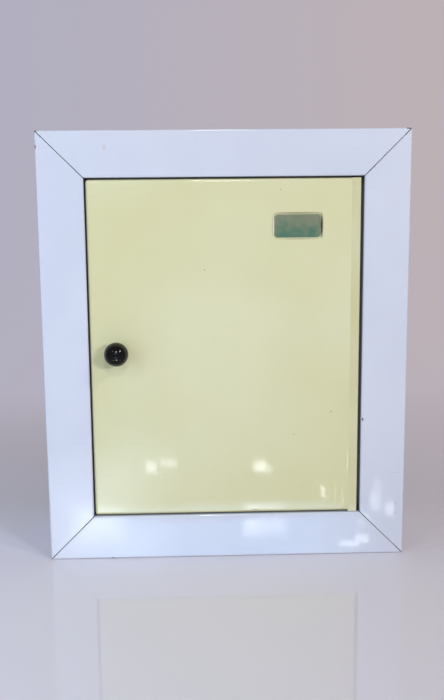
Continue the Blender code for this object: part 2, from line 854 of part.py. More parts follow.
for label, way in (("upper", 1), ("lower", -1)):
    height = knob_z + way * CATCH_SCREW_SPACING / 2
    seat_y = catch_front_y + CATCH_DEPTH + SEAT_GAP
    catch_holes.append((catch_x, rail_back_y, height))
    slotted_screw(
        "catch_screw_" + label,
        (catch_x, seat_y, height),
        (0, -1, 0),
        CATCH_SCREW_RADIUS,
        seat_y - stop_y - RAIL_SHEET / 2,
        CATCH_SCREW_RADIUS * 1.9,
        zinc_steel,
    )
catch_hole_tool = hole_tool(
    "catch_hole_tool", catch_holes, CATCH_SCREW_RADIUS + HOLE_GAP, (0, 1, 0), 3 * CATCH_DEPTH
)
combine(housing, catch_hole_tool)
combine(rails["left"], catch_hole_tool)

# Rubber buffers that the door closes on

buffer_head = stop_y - door_back_y - 2 * SEAT_GAP
buffer_grip = RAIL_SHEET + 2 * SEAT_GAP
buffer_holes = []
for label, height in (
    ("upper", opening_top - BUFFER_FROM_END),
    ("lower", opening_bottom + BUFFER_FROM_END),
):
    buffer_holes.append((catch_x, stop_y, height))
    turned(
        "door_buffer_" + label,
        [
            (0, -buffer_head),
            (BUFFER_RADIUS * 0.8, -buffer_head),
            (BUFFER_RADIUS, -buffer_head / 2),
            (BUFFER_RADIUS, 0),
            (BUFFER_STEM_RADIUS, 0),
            (BUFFER_STEM_RADIUS, buffer_grip),
            (BUFFER_BULB_RADIUS, buffer_grip),
            (BUFFER_STEM_RADIUS, buffer_grip + BUFFER_BULB_RADIUS),
            (0, buffer_grip + BUFFER_BULB_RADIUS),
        ],
        (catch_x, stop_y - SEAT_GAP, height),
        (0, 1, 0),
        rubber,
    )
combine(
    rails["left"],
    hole_tool("buffer_hole_tool", buffer_holes, BUFFER_STEM_RADIUS + HOLE_GAP, (0, 1, 0), 6 * RAIL_SHEET),
)
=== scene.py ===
# Wall medicine cabinet: mitred white frame, cream pan door on pivots, black ball knob, bare badge plate.
import json
import math

import bmesh
import bpy
from mathutils import Matrix, Vector, noise


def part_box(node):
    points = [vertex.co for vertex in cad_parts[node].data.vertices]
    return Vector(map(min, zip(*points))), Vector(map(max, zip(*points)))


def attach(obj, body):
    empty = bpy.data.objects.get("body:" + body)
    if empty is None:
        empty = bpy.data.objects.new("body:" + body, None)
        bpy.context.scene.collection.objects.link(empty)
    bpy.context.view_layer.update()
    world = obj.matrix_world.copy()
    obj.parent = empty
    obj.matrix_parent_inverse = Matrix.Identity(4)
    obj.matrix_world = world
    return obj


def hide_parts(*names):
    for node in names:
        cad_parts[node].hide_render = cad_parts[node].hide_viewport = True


noise.seed_set(7)  # without it the ripple in the sheets would differ from run to run

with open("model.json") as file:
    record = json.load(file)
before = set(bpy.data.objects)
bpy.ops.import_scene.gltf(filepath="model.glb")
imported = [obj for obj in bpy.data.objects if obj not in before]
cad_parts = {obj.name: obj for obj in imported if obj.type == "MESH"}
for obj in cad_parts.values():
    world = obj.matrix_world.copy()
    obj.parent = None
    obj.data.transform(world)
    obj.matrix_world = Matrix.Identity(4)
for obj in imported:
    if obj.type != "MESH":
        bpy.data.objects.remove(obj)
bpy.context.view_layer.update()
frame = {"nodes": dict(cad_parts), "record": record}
mm = 0.001
cabinet = {"width": 370 * mm, "height": 440 * mm}
nodeSlots = {entry["node"]: entry["material_slot"] for entry in frame["record"]["subparts"]}
print("frame loaded,", len(frame["nodes"]), "nodes")


# Camera: the photograph's eye, a metre in front and a little above the door's middle

eye = {
    "place": (-0.0358, -1.0637, 0.3998),
    "yaw": -1.820,
    "pitch": -10.158,
    "roll": 0.503,
    "lens": 36 * 1000 / 700,  # millimetres, on a frame 36 mm high
}
lens = bpy.data.cameras.new("photoEye")
lens.sensor_width = 36
lens.lens = eye["lens"]
camera = bpy.data.objects.new("photoEye", lens)
bpy.context.scene.collection.objects.link(camera)
camera.matrix_world = (
    Matrix.Translation(eye["place"])
    @ Matrix.Rotation(math.radians(eye["yaw"]), 4, "Z")
    @ Matrix.Rotation(math.radians(eye["pitch"]), 4, "X")
    @ Matrix.Rotation(math.radians(eye["roll"]), 4, "Y")
    @ Matrix.Rotation(math.radians(90), 4, "X")
)
bpy.context.scene.camera = camera


# Node helpers

def toLinear(hexColour):
    # sRGB hex to the linear colour that a shader takes
    channels = [int(hexColour[place:place + 2], 16) / 255 for place in (1, 3, 5)]
    return tuple(c / 12.92 if c <= 0.04045 else ((c + 0.055) / 1.055) ** 2.4 for c in channels) + (1.0,)


def addNode(tree, kind, settings=None, links=None):
    # one node: settings are its properties or its sockets' values, links are sources for its sockets
    node = tree.nodes.new("ShaderNode" + kind)
    for key, value in (settings or {}).items():
        if isinstance(key, str) and hasattr(node, key):
            setattr(node, key, value)
        else:
            node.inputs[key].default_value = value
    for key, source in (links or {}).items():
        tree.links.new(source, node.inputs[key])
    return node


def newFinish(name, shaderSettings):
    # a material with one shader, and the object coordinates that its patterns are drawn on
    material = bpy.data.materials.new(name)
    material.use_nodes = True
    tree = material.node_tree
    tree.nodes.clear()
    shader = addNode(tree, "BsdfPrincipled", shaderSettings)
    addNode(tree, "OutputMaterial", {}, {"Surface": shader.outputs[0]})
    place = addNode(tree, "TexCoord").outputs["Object"]
    return material, tree, shader, place


def addNoise(tree, place, size, detail, extra=None, output="Fac"):
    # noise whose features are this many millimetres across
    settings = dict({"Scale": 1 / (size * mm), "Detail": detail}, **(extra or {}))
    return addNode(tree, "TexNoise", settings, {"Vector": place}).outputs[output]


def mapped(tree, value, source=(0, 1), result=(0, 1)):
    # a value's source range turned into the result range, and held inside it
    settings = {"From Min": source[0], "From Max": source[1], "To Min": result[0], "To Max": result[1]}
    return addNode(tree, "MapRange", settings, {"Value": value}).outputs["Result"]


def mixed(tree, share, first, second):
    # two colours, each a hex value or a socket, mixed by a share
    settings = {"data_type": "RGBA"}
    links = {0: share}
    for socket, colour in ((6, first), (7, second)):
        if isinstance(colour, str):
            settings[socket] = toLinear(colour)
        else:
            links[socket] = colour
    return addNode(tree, "Mix", settings, links).outputs[2]


def maths(tree, operation, first, second=None, clamp=False):
    # one sum on sockets, of which the second may be a number
    settings = {"operation": operation, "use_clamp": clamp}
    links = {0: first}
    if isinstance(second, float):
        settings[1] = second
    elif second is not None:
        links[1] = second
    return addNode(tree, "Math", settings, links).outputs[0]


def bumped(tree, height, strength, depth, under=None, invert=False):
    # a normal that a height pattern disturbs by up to this many millimetres
    links = {"Height": height}
    if under is not None:
        links["Normal"] = under
    settings = {"Strength": strength, "Distance": depth * mm, "invert": invert}
    return addNode(tree, "Bump", settings, links).outputs["Normal"]


def dress(tree, shader, colour, roughness, normal):
    for socket, source in (("Base Color", colour), ("Roughness", roughness), ("Normal", normal)):
        tree.links.new(source, shader.inputs[socket])


# Finishes

enamelLook = {
    "dust": (6, 6.0, {"Roughness": 0.7}),  # each pattern's size in millimetres and its detail
    "wiped": (34, 4.0, {"Roughness": 0.65}),
    "ragged": (1.1, 3.0),
    "peel": (1.6, 1.0),
    "stray": 1.1,  # millimetres that a mark's edge wanders
    "markDepth": 2.2,
    "chippedRoughness": 0.65,
    # millimetres: where the painted shade on the jamb behind the frame's face starts and is full, and how
    # far out it reaches
    "gap": {"start": -64.0, "full": -61.0, "side": 140.8, "level": 175.8, "fade": 0.8, "colour": "#2B2A22"},
}


def addGapShade(tree, place, colour, strength):
    # painted shade on the jamb, behind the frame's face and round the door, deepening towards the back
    gap = enamelLook["gap"]
    spot = addNode(tree, "SeparateXYZ", {}, {"Vector": place}).outputs
    level = maths(tree, "SUBTRACT", spot["Z"], cabinet["height"] / 2)
    gapShaded = mapped(tree, spot["Y"], (gap["start"] * mm, gap["full"] * mm), (0, strength))
    for value, limit in ((spot["X"], gap["side"]), (level, gap["level"])):
        away = maths(tree, "ABSOLUTE", value)
        gapShaded = maths(tree, "MULTIPLY", gapShaded, mapped(tree, away, (limit * mm, (limit - gap["fade"]) * mm)))
    return mixed(tree, gapShaded, colour, gap["colour"])


def markMask(tree, place, softness, strength, x, y, z, wide, high):
    # where one mark lies, with a soft edge
    size = Vector((wide, enamelLook["markDepth"], high)) * mm
    inverse = Vector((1 / size.x, 1 / size.y, 1 / size.z))
    shift = Vector((-x * mm * inverse.x, -y * mm * inverse.y, -z * mm * inverse.z))
    settings = {"operation": "MULTIPLY_ADD", 1: inverse, 2: shift}
    local = addNode(tree, "VectorMath", settings, {0: place}).outputs["Vector"]
    away = addNode(tree, "VectorMath", {"operation": "LENGTH"}, {0: local}).outputs["Value"]
    return mapped(tree, away, (1, 1 - softness), (0, strength))


def highest(tree, masks):
    top = masks[0]
    for mask in masks[1:]:
        top = maths(tree, "MAXIMUM", top, mask)
    return top


def stoveEnamel(name, look, marks=None):
    # Gloss enamel, sprayed and stoved: the eye gets a sharp but slightly rippled reflection, a soft
    # cloudiness in the colour, and dark primer or rust only where it has chipped; where asked it also
    # takes painted shade on the jamb, and painted shade and a painted highlight in the door's badge recess.
    material, tree, shader, place = newFinish(name, {"IOR": 1.52, "Metallic": 0.0})
    cloudy = mapped(tree, addNoise(tree, place, look["cloud"], 2.0), (0.35, 0.65))
    colour = mixed(tree, cloudy, look["colour"], look["shade"])
    dusty = mapped(tree, addNoise(tree, place, *enamelLook["dust"]), (0.5, 0.85), (0, look["dust"]))
    colour = mixed(tree, dusty, colour, look["dustColour"])
    gloss = mapped(tree, addNoise(tree, place, *enamelLook["wiped"]), (0.3, 0.75), look["gloss"])
    if look["gapGrime"]:
        colour = addGapShade(tree, place, colour, look["gapGrime"])
    normal = bumped(tree, addNoise(tree, place, *enamelLook["peel"]), look["peel"], 0.03)
    normal = bumped(tree, addNoise(tree, place, look["flow"], 1.0), look["flowStrength"], 0.5, normal)
    if marks:
        ragged = addNoise(tree, place, *enamelLook["ragged"], output="Color")
        stray = enamelLook["stray"] * mm
        settings = {"operation": "MULTIPLY_ADD", 1: (stray,) * 3}
        edge = addNode(tree, "VectorMath", settings, {0: ragged, 2: place}).outputs["Vector"]
        settings = {"operation": "SUBTRACT", 1: (stray / 2,) * 3}
        edge = addNode(tree, "VectorMath", settings, {0: edge}).outputs["Vector"]
        masks = []
        for markColour, softness, strength, places in marks.values():
            mask = highest(tree, [markMask(tree, edge, softness, strength, *spot) for spot in places])
            colour = mixed(tree, mask, colour, markColour)
            masks.append(mask)
        # every mark, the painted shade and highlight in the recess among them, takes a duller gloss and a
        # slight dent
        wearAndPaintedLight = highest(tree, masks)
        gloss = addNode(tree, "Mix", {3: enamelLook["chippedRoughness"]}, {0: wearAndPaintedLight, 2: gloss}).outputs[0]
        normal = bumped(tree, wearAndPaintedLight, 0.6, 0.15, normal, True)
    dress(tree, shader, colour, gloss, normal)
    return material


frameLook = {
    "colour": "#CFD1D9",
    "shade": "#C9CCD5",
    "cloud": 120,
    "dust": 0.06,
    "dustColour": "#A9A8AC",
    "gloss": (0.02, 0.05),
    "peel": 0.02,
    "flow": 24,
    "flowStrength": 0.03,
    # how dark the painted shade on the jamb is
    "gapGrime": 0.5,
}
# each kind of mark: colour, softness, strength, and places as x, y, z, width and height in millimetres
frameMarks = {
    "primer": ("#2C2F36", 0.25, 0.95, [
        (-184.6, -64.0, 424.6, 1.2, 1.7), (140.6, -64.3, 146.0, 1.0, 1.9),
        (-184.3, -64.0, 439.2, 1.6, 1.2), (182.4, -64.0, 439.6, 3.9, 0.9),
        (184.8, -50.0, 212.0, 1.2, 2.4), (-184.8, -49.0, 96.0, 1.2, 1.6), (64.0, -50.0, 439.6, 2.2, 1.1),
        (-120.0, -64.4, 0.6, 1.6, 0.8),
    ]),
    "rust": ("#A0642F", 0.8, 0.85, [
        (-184.6, -64.0, 422.9, 1.4, 1.6), (-183.6, -47.6, 402.0, 1.3, 1.5),
    ]),
    "rustStain": ("#CDA79A", 1.0, 0.55, [(-117.4, -65.0, 423.6, 2.6, 3.6), (-89.6, -64.6, 439.3, 1.6, 1.0)]),
    "fillerDab": ("#E2DDDC", 0.3, 0.9, [(-148.2, -64.4, 36.4, 1.4, 1.2)]),
    "bruise": ("#9C9FAC", 0.9, 0.55, [
        (176.5, -65.0, 54.3, 1.7, 1.7), (176.7, -65.0, 44.4, 1.5, 1.8), (174.8, -65.0, 88.2, 7.2, 0.45),
    ]),
}
doorLook = {
    "colour": "#D8D5AD",
    "shade": "#D2CD9E",
    "cloud": 170,
    "dust": 0.05,
    "dustColour": "#A59F7C",
    "gloss": (0.02, 0.045),
    "peel": 0.015,
    "flow": 30,
    "flowStrength": 0.03,
    "gapGrime": 0,
}
doorMarks = {
    "speck": ("#6B6650", 0.5, 0.8, [
        (-20.8, -62.5, 302.2, 0.8, 0.8), (55.6, -62.5, 381.0, 0.7, 0.7), (69.7, -62.5, 130.5, 0.7, 0.8),
        (108.0, -62.5, 154.4, 0.8, 0.7), (-64.0, -62.5, 84.0, 0.6, 0.6),
    ]),
    "smudge": ("#8B8768", 0.9, 0.5, [(29.9, -62.3, 49.8, 4.4, 1.0)]),
    # painted shade: a dark band down the right wall of the badge's recess
    "recessGrime": ("#3E3A2C", 0.55, 0.95, [(96.8, -61.9, 345.1, 2.0, 15.0)]),
    # painted shade: thin dark lines along the recess's left mouth and its top and bottom slopes
    "recessLine": ("#857C5C", 0.6, 0.55, [
        (47.3, -61.9, 345.1, 0.6, 13.5), (72.6, -61.9, 358.0, 25.0, 1.0),
        (72.6, -61.9, 332.0, 25.0, 0.6),
    ]),
    # painted highlight: a pale band on the recess's left slope, where light catches it
    "recessShine": ("#EFECE0", 0.5, 0.85, [(49.0, -61.9, 345.1, 1.3, 13.0)]),
}
boxLook = dict(frameLook, colour="#CBCFDA", shade="#C2C6D2", gloss=(0.14, 0.26), dust=0.28, gapGrime=0)
shelfLook = dict(boxLook, colour="#D2D4DA", shade="#C9CBD2", gloss=(0.20, 0.34), dust=0.30, cloud=80)
linerLook = dict(shelfLook, colour="#D0D1D4", shade="#C8C9CD", cloud=140)
stileLook = dict(doorLook, colour="#D1CCA3", shade="#C9C395", cloud=60)
grainyLooks = {
    # Bright zinc plate on mild steel: a grey metal with a faint blue and straw bloom and fine grain.
    "zincPlate": {
        "shader": {"Metallic": 1.0}, "colour": "#B4B8C0", "shade": "#ABA998",
        "mottle": (5, 3.0), "grain": (0.35, 2.0), "roughness": (0.26, 0.46), "bump": (0.3, 0.02),
    },
    # Drawn steel that has turned in old oil: fine lines along its length under a brown-grey film.
    "oiledDrawnSteel": {
        "shader": {"Metallic": 1.0}, "colour": "#7E7B76", "shade": "#4F4A43", "stretch": (1.0, 1.0, 0.04),
        "mottle": (0.25, 3.0), "grain": (0.25, 3.0), "roughness": (0.36, 0.56), "bump": (0.3, 0.01),
    },
    # Black phenolic resin, moulded and buffed: near black, with a hard wet gloss and fine hair marks.
    "blackPhenolicResin": {
        "shader": {"IOR": 1.62, "Specular IOR Level": 0.3}, "colour": "#030304", "shade": "#07080C",
        "mottle": (7, 3.0), "grain": (2.4, 4.0, {"Roughness": 0.7}), "roughness": (0.0, 0.03),
        "bump": (0.03, 0.05), "smooth": True,
    },
    # Natural nylon: milky and slightly waxy.
    "naturalNylon": {
        "shader": {"IOR": 1.53, "Subsurface Weight": 0.2, "Subsurface Radius": (0.001, 0.001, 0.001)},
        "colour": "#DDD7C2", "shade": "#CFC8AE",
        "mottle": (3, 3.0), "grain": (0.4, 2.0), "roughness": (0.37, 0.53), "bump": (0.35, 0.04),
    },
    # Moulded styrene catch body: ivory gone a little yellow.
    "ivoryMouldedStyrene": {
        "shader": {"IOR": 1.55}, "colour": "#C4BCA6", "shade": "#B6AD94",
        "mottle": (9, 3.0), "grain": (0.5, 2.0), "roughness": (0.32, 0.48), "bump": (0.35, 0.04),
    },
    # Sintered ferrite: dull charcoal.
    "sinteredFerrite": {
        "shader": {"IOR": 1.8}, "colour": "#2E2E31", "shade": "#3A3A3D",
        "mottle": (2, 3.0), "grain": (0.3, 2.0), "roughness": (0.52, 0.68), "bump": (0.35, 0.04),
    },
    # Moulded rubber: soft dark grey with a bloom.
    "mouldedRubber": {
        "shader": {"IOR": 1.52}, "colour": "#2B2B2C", "shade": "#3C3B3A",
        "mottle": (2, 3.0), "grain": (0.4, 2.0), "roughness": (0.67, 0.83), "bump": (0.35, 0.04),
    },
}
foilLook = {
    "middle": 0.3451,
    "stain": (11, 3.0, {"Distortion": 0.6}),
    "crumple": (5, 2.0),
    "lines": (0.5, 3.0),
    "bare": "#A3AB8E",
    "lacquer": "#669880",
}
mitreLook = {"grain": (0.8, 3.0), "colour": "#17191D", "shade": "#33312E"}


def grainyFinish(name):
    # an even colour with a slight mottle, and a fine grain in its gloss and its skin
    look = grainyLooks[name]
    material, tree, shader, place = newFinish(name, look["shader"])
    if "stretch" in look:
        place = addNode(tree, "Mapping", {"Scale": look["stretch"]}, {"Vector": place}).outputs["Vector"]
    mottle = addNoise(tree, place, *look["mottle"])
    grain = addNoise(tree, place, *look["grain"])
    skin = bumped(tree, mottle if look.get("smooth") else grain, *look["bump"])
    colour = mixed(tree, mottle, look["colour"], look["shade"])
    dress(tree, shader, colour, mapped(tree, grain, result=look["roughness"]), skin)
    return material


def badgeFoil(look):
    # Rolled aluminium foil plate with a thin stain of green lacquer that has settled unevenly.
    material, tree, shader, place = newFinish("lacqueredAluminiumFoil", {"Metallic": 0.7})
    height = addNode(tree, "SeparateXYZ", {}, {"Vector": place}).outputs["Z"]
    settled = mapped(tree, height, (look["middle"] + 9 * mm, look["middle"] - 10 * mm), (0, 0.45))
    amount = maths(tree, "ADD", settled, addNoise(tree, place, *look["stain"]), True)
    colour = mixed(tree, mapped(tree, amount, (0.55, 1.05)), look["bare"], look["lacquer"])
    rolled = addNode(tree, "Mapping", {"Scale": (0.05, 1.0, 1.0)}, {"Vector": place}).outputs["Vector"]
    lines = addNoise(tree, rolled, *look["lines"])
    crumpled = bumped(tree, addNoise(tree, place, *look["crumple"]), 0.6, 0.3)
    skin = bumped(tree, lines, 0.2, 0.02, crumpled)
    dress(tree, shader, colour, mapped(tree, lines, result=(0.22, 0.42)), skin)
    return material


def mitreGrime(look):
    # Bare cut edge under years of grime: the mitre reads as a thin dark line.
    material, tree, shader, place = newFinish("mitreGrime", {"Roughness": 0.8})
    colour = mixed(tree, addNoise(tree, place, *look["grain"]), look["colour"], look["shade"])
    tree.links.new(colour, shader.inputs["Base Color"])
    return material


slotFinishes = {
    "frame_enamel": stoveEnamel("whiteFrameEnamel", frameLook, frameMarks),
    "door_enamel": stoveEnamel("creamDoorEnamel", doorLook, doorMarks),
    "box_enamel": stoveEnamel("whiteBoxEnamel", boxLook),
    "shelf_enamel": stoveEnamel("whiteShelfEnamel", shelfLook),
    "liner_enamel": stoveEnamel("whiteLinerEnamel", linerLook),
    "zinc_plate": grainyFinish("zincPlate"),
    "bright_steel": grainyFinish("oiledDrawnSteel"),
    "knob_resin": grainyFinish("blackPhenolicResin"),
    "badge_aluminium": badgeFoil(foilLook),
    "nylon": grainyFinish("naturalNylon"),
    "catch_plastic": grainyFinish("ivoryMouldedStyrene"),
    "ferrite": grainyFinish("sinteredFerrite"),
    "buffer_rubber": grainyFinish("mouldedRubber"),
}
stileEnamel = stoveEnamel("creamStileEnamel", stileLook, {"speck": doorMarks["speck"]})
grime = mitreGrime(mitreLook)
print("finishes made")


# Mesh helpers

def addObject(name, shape):
    # an object at the origin from a shape, which is let go
    mesh = bpy.data.meshes.new(name)
    shape.to_mesh(mesh)
    shape.free()
    holder = bpy.data.objects.new(name, mesh)
    bpy.context.scene.collection.objects.link(holder)
    return holder


def finishPiece(name, shape, body, node, smoothAngle=32, finishes=None):
    # a finished piece, smooth where it bends, riding on its body in place of its CAD node
    piece = addObject(name, shape)
    for material in finishes or [slotFinishes[nodeSlots[node]]]:
        piece.data.materials.append(material)
    piece.data.shade_smooth()
    piece.data.set_sharp_from_angle(angle=math.radians(smoothAngle))
    flatFaces = piece.modifiers.new("flatFaces", "WEIGHTED_NORMAL")
    flatFaces.keep_sharp = True
    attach(piece, body)
    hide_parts(node)
    return piece


def finishSmall(node, shape, body="cabinet", smoothAngle=40):
    # a small piece, named after its node with a word for what it is made of in front
    words = nodeSlots[node].split("_")[:1] + node.split("_")
    name = words[0] + "".join(word.capitalize() for word in words[1:])
    finishPiece(name, shape, body, node, smoothAngle)


def nodeBox(node):
    # a node's low and high corner in millimetres
    return [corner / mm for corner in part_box(node)]


def standAt(place, direction, unit=mm):
    # stand a shape at a place, with its own +Z along a direction
    turn = Vector((0, 0, 1)).rotation_difference(Vector(direction)).to_matrix().to_4x4()
    return Matrix.Translation(Vector(place) * unit) @ turn


def pointOutwards(shape):
    # merge doubles and turn every face of a closed shape outwards
    bmesh.ops.remove_doubles(shape, verts=shape.verts, dist=0.002 * mm)
    bmesh.ops.recalc_face_normals(shape, faces=shape.faces)
    if shape.calc_volume(signed=True) < 0:
        bmesh.ops.reverse_faces(shape, faces=shape.faces)


def boxShape(low, high, unit=1):
    # a block between two corners
    shape = bmesh.new()
    bmesh.ops.create_cube(shape, size=1)
    for vert in shape.verts:
        vert.co = [(low[i] if vert.co[i] < 0 else high[i]) * unit for i in range(3)]
    return shape


def roundEdges(shape, edges, radius, steps, affect="EDGES", material=-1, clamp=False):
    # round edges, or the points of an outline, to a radius in millimetres
    bmesh.ops.bevel(
        shape,
        geom=edges,
        offset=radius * mm,
        affect=affect,
        segments=steps,
        profile=0.5,
        material=material,
        clamp_overlap=clamp,
    )


def cutPlane(shape, point, direction, clear=False):
    # cut a shape at a plane, clear what lies past it if asked, and give the edges of the cut
    cut = bmesh.ops.bisect_plane(
        shape,
        geom=shape.verts[:] + shape.edges[:] + shape.faces[:],
        dist=0.0001 * mm,
        plane_co=point,
        plane_no=direction,
        clear_outer=clear,
    )
    return [item for item in cut["geom_cut"] if isinstance(item, bmesh.types.BMEdge)]


def cutLines(shape, axis, places):
    # cut the whole shape at places in millimetres along one axis, so that it can ripple
    direction = Vector([float(name == axis) for name in "xyz"])
    for place in places:
        cutPlane(shape, direction * (place * mm), direction)


def spread(first, last, step):
    # evenly spaced places between two ends, about one step apart
    count = max(1, round(abs(last - first) / step))
    return [first + (last - first) * number / count for number in range(1, count)]


def ripple(shape, wave):
    # pressed and folded sheet is never dead flat: a tenth of a millimetre over a hand's width
    for vert in shape.verts:
        vert.co += noise.noise_vector(vert.co / (wave["length"] * mm)) * wave["height"] * mm


def cutAway(shape, tool):
    # take one closed shape out of another
    holders = [addObject(label, part) for label, part in (("cutBody", shape), ("cutTool", tool))]
    boolean = holders[0].modifiers.new("cut", "BOOLEAN")
    boolean.operation = "DIFFERENCE"
    boolean.solver = "EXACT"
    boolean.object = holders[1]
    bpy.context.view_layer.update()
    done = bmesh.new()
    done.from_object(holders[0], bpy.context.evaluated_depsgraph_get())
    for holder in holders:
        bpy.data.meshes.remove(holder.data)
    return done


def roundHoles(holes):
    # cutters for round holes: centre in metres, direction, radius and length in millimetres
    tool = bmesh.new()
    for centre, direction, radius, length in holes:
        bmesh.ops.create_cone(
            tool,
            cap_ends=True,
            segments=40,
            radius1=radius * mm,
            radius2=radius * mm,
            depth=length * mm,
            matrix=standAt(centre, direction, 1),
        )
    return tool


def drawStrip(points, reach):
    # a strip from a run of points, drawn out along a vector
    shape = bmesh.new()
    corners = [shape.verts.new(point) for point in points]
    run = [shape.edges.new(pair) for pair in zip(corners, corners[1:])]
    grown = bmesh.ops.extrude_edge_only(shape, edges=run)
    far = [item for item in grown["geom"] if isinstance(item, bmesh.types.BMVert)]
    bmesh.ops.translate(shape, verts=far, vec=reach)
    return shape


def foldSheet(path, sizes, reach):
    # a flat strip along Z, folded along a path in X and Y whose outside is on its right, with the
    # face side's radius at each fold
    shape = drawStrip([(x * mm, y * mm, -reach) for x, y in path], (0, 0, 2 * reach))
    bmesh.ops.reverse_faces(shape, faces=shape.faces)
    for (x, y), bend in zip(path[1:-1], sizes["bends"]):
        corner = Vector((x, y)) * mm
        fold = [
            edge
            for edge in shape.edges
            if all((vert.co.xy - corner).length < 0.01 * mm for vert in edge.verts)
        ]
        if bend:
            roundEdges(shape, fold, bend, 7)
    shape.normal_update()
    bmesh.ops.solidify(shape, geom=shape.faces[:], thickness=sizes["sheet"] * mm)
    if "lines" in sizes:
        cutLines(shape, "z", spread(-reach / mm, reach / mm, sizes["lines"]))
    return shape


def mitreEnd(shape, reach, way, soft):
    # cut one end at 45 degrees, close it and round the enamel over the cut edge
    rim = cutPlane(shape, (0, 0, way * reach), Vector((1, 0, way)).normalized(), True)
    cap = bmesh.ops.contextual_create(shape, geom=rim)["faces"][0]
    cap.material_index = 1
    roundEdges(shape, list(cap.edges), soft, 2, material=0)


def refinedCopy(node, sizes, spans):
    # a CAD node's own shape with its doubles merged, its sharp edges eased and a faint ripple
    shape = bmesh.new()
    shape.from_mesh(frame["nodes"][node].data)
    bmesh.ops.remove_doubles(shape, verts=shape.verts, dist=0.004 * mm)
    bmesh.ops.dissolve_limit(
        shape, angle_limit=math.radians(1), verts=shape.verts, edges=shape.edges, delimit={"NORMAL"}
    )
    sharp = [
        item
        for item in shape.edges
        if len(item.link_faces) == 2 and item.calc_face_angle(0) > math.radians(40)
    ]
    roundEdges(shape, sharp, sizes["edge"], sizes["steps"], clamp=True)
    for axis, first, last in spans:
        cutLines(shape, axis, spread(first, last, sizes["lines"]))
    if spans:
        ripple(shape, sizes["wave"])
    return shape


# Frame rails: four folded channels, mitred at 45 degrees, with a stop flange behind the door

sidePlaces = {
    "left": Matrix.Translation((-cabinet["width"] / 2, 0, cabinet["height"] / 2)),
    "right": Matrix.Translation((cabinet["width"] / 2, 0, cabinet["height"] / 2))
    @ Matrix.Rotation(math.pi, 4, "Y"),
    "top": Matrix.Translation((0, 0, cabinet["height"])) @ Matrix.Rotation(math.pi / 2, 4, "Y"),
    "bottom": Matrix.Rotation(-math.pi / 2, 4, "Y"),
}
railSizes = {
    "path": [(12, -47.3), (0, -47.3), (0, -65), (46, -65), (46, -48.5), (54, -48.5)],
    "sheet": 1.2,
    "bends": (1.7, 1.7, 1.7, 0.5),
    "gap": 0.7,
    "soft": 0.22,
    "lines": 11,  # millimetres between the cuts that let it ripple
    "across": ("x", (12, 22, 33)),
    "wave": {"length": 70, "height": 0.10},
    "width": 46,
    "bushHole": 3.45,  # radius, where the nylon bush goes through
    "bushHoleDepth": 7,
}
pinLow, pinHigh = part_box("hinge_pin_top")
hinge = ((pinLow.x + pinHigh.x) / 2, (pinLow.y + pinHigh.y) / 2)  # the door's turning line


def makeChannel(side, sizes):
    # a folded channel for one side of the cabinet, mitred at both ends
    half = (cabinet["width"] if side in ("top", "bottom") else cabinet["height"]) / 2
    channel = foldSheet(sizes["path"], sizes, half)
    cutLines(channel, *sizes["across"])
    for way in (1, -1):
        mitreEnd(channel, half - sizes["gap"] * 0.7071 * mm, way, sizes["soft"])
    channel.transform(sidePlaces[side])
    ripple(channel, sizes["wave"])
    pointOutwards(channel)
    return channel


for side in sidePlaces:
    rail = makeChannel(side, railSizes)
    if side in ("top", "bottom"):
        z = cabinet["height"] - railSizes["width"] * mm if side == "top" else railSizes["width"] * mm
        hole = ((*hinge, z), (0, 0, 1), railSizes["bushHole"], railSizes["bushHoleDepth"])
        rail = cutAway(rail, roundHoles([hole]))
    railFinishes = [slotFinishes["frame_enamel"], grime]
    finishPiece("enamelRail" + side.capitalize(), rail, "cabinet", "rail_" + side, finishes=railFinishes)
print("rails made")


# Box: four folded panels behind the frame, and a flat back with two keyholes

panelSizes = {
    "path": [(10, 65), (0, 65), (0, -47), (12, -47)],
    "sheet": 1.0,
    "bends": (1.5, 1.5),
    "gap": 0.3,
    "soft": 0.18,
    "lines": 14,
    "across": ("y", spread(-45, 63, 14)),
    "wave": {"length": 90, "height": 0.16},
}
for side in sidePlaces:
    panel = makeChannel(side, panelSizes)
    panelFinishes = [slotFinishes["box_enamel"], grime]
    finishPiece("boxPanel" + side.capitalize(), panel, "cabinet", "box_" + side, finishes=panelFinishes)

backSizes = {"edge": 0.15, "steps": 2, "lines": 16, "wave": {"length": 110, "height": 0.18}}
back = refinedCopy("back_panel", backSizes, (("x", -183, 183), ("z", 2, 438)))
finishPiece("boxBackSheet", back, "cabinet", "back_panel")
print("box made")


# Shelves and the angles under them

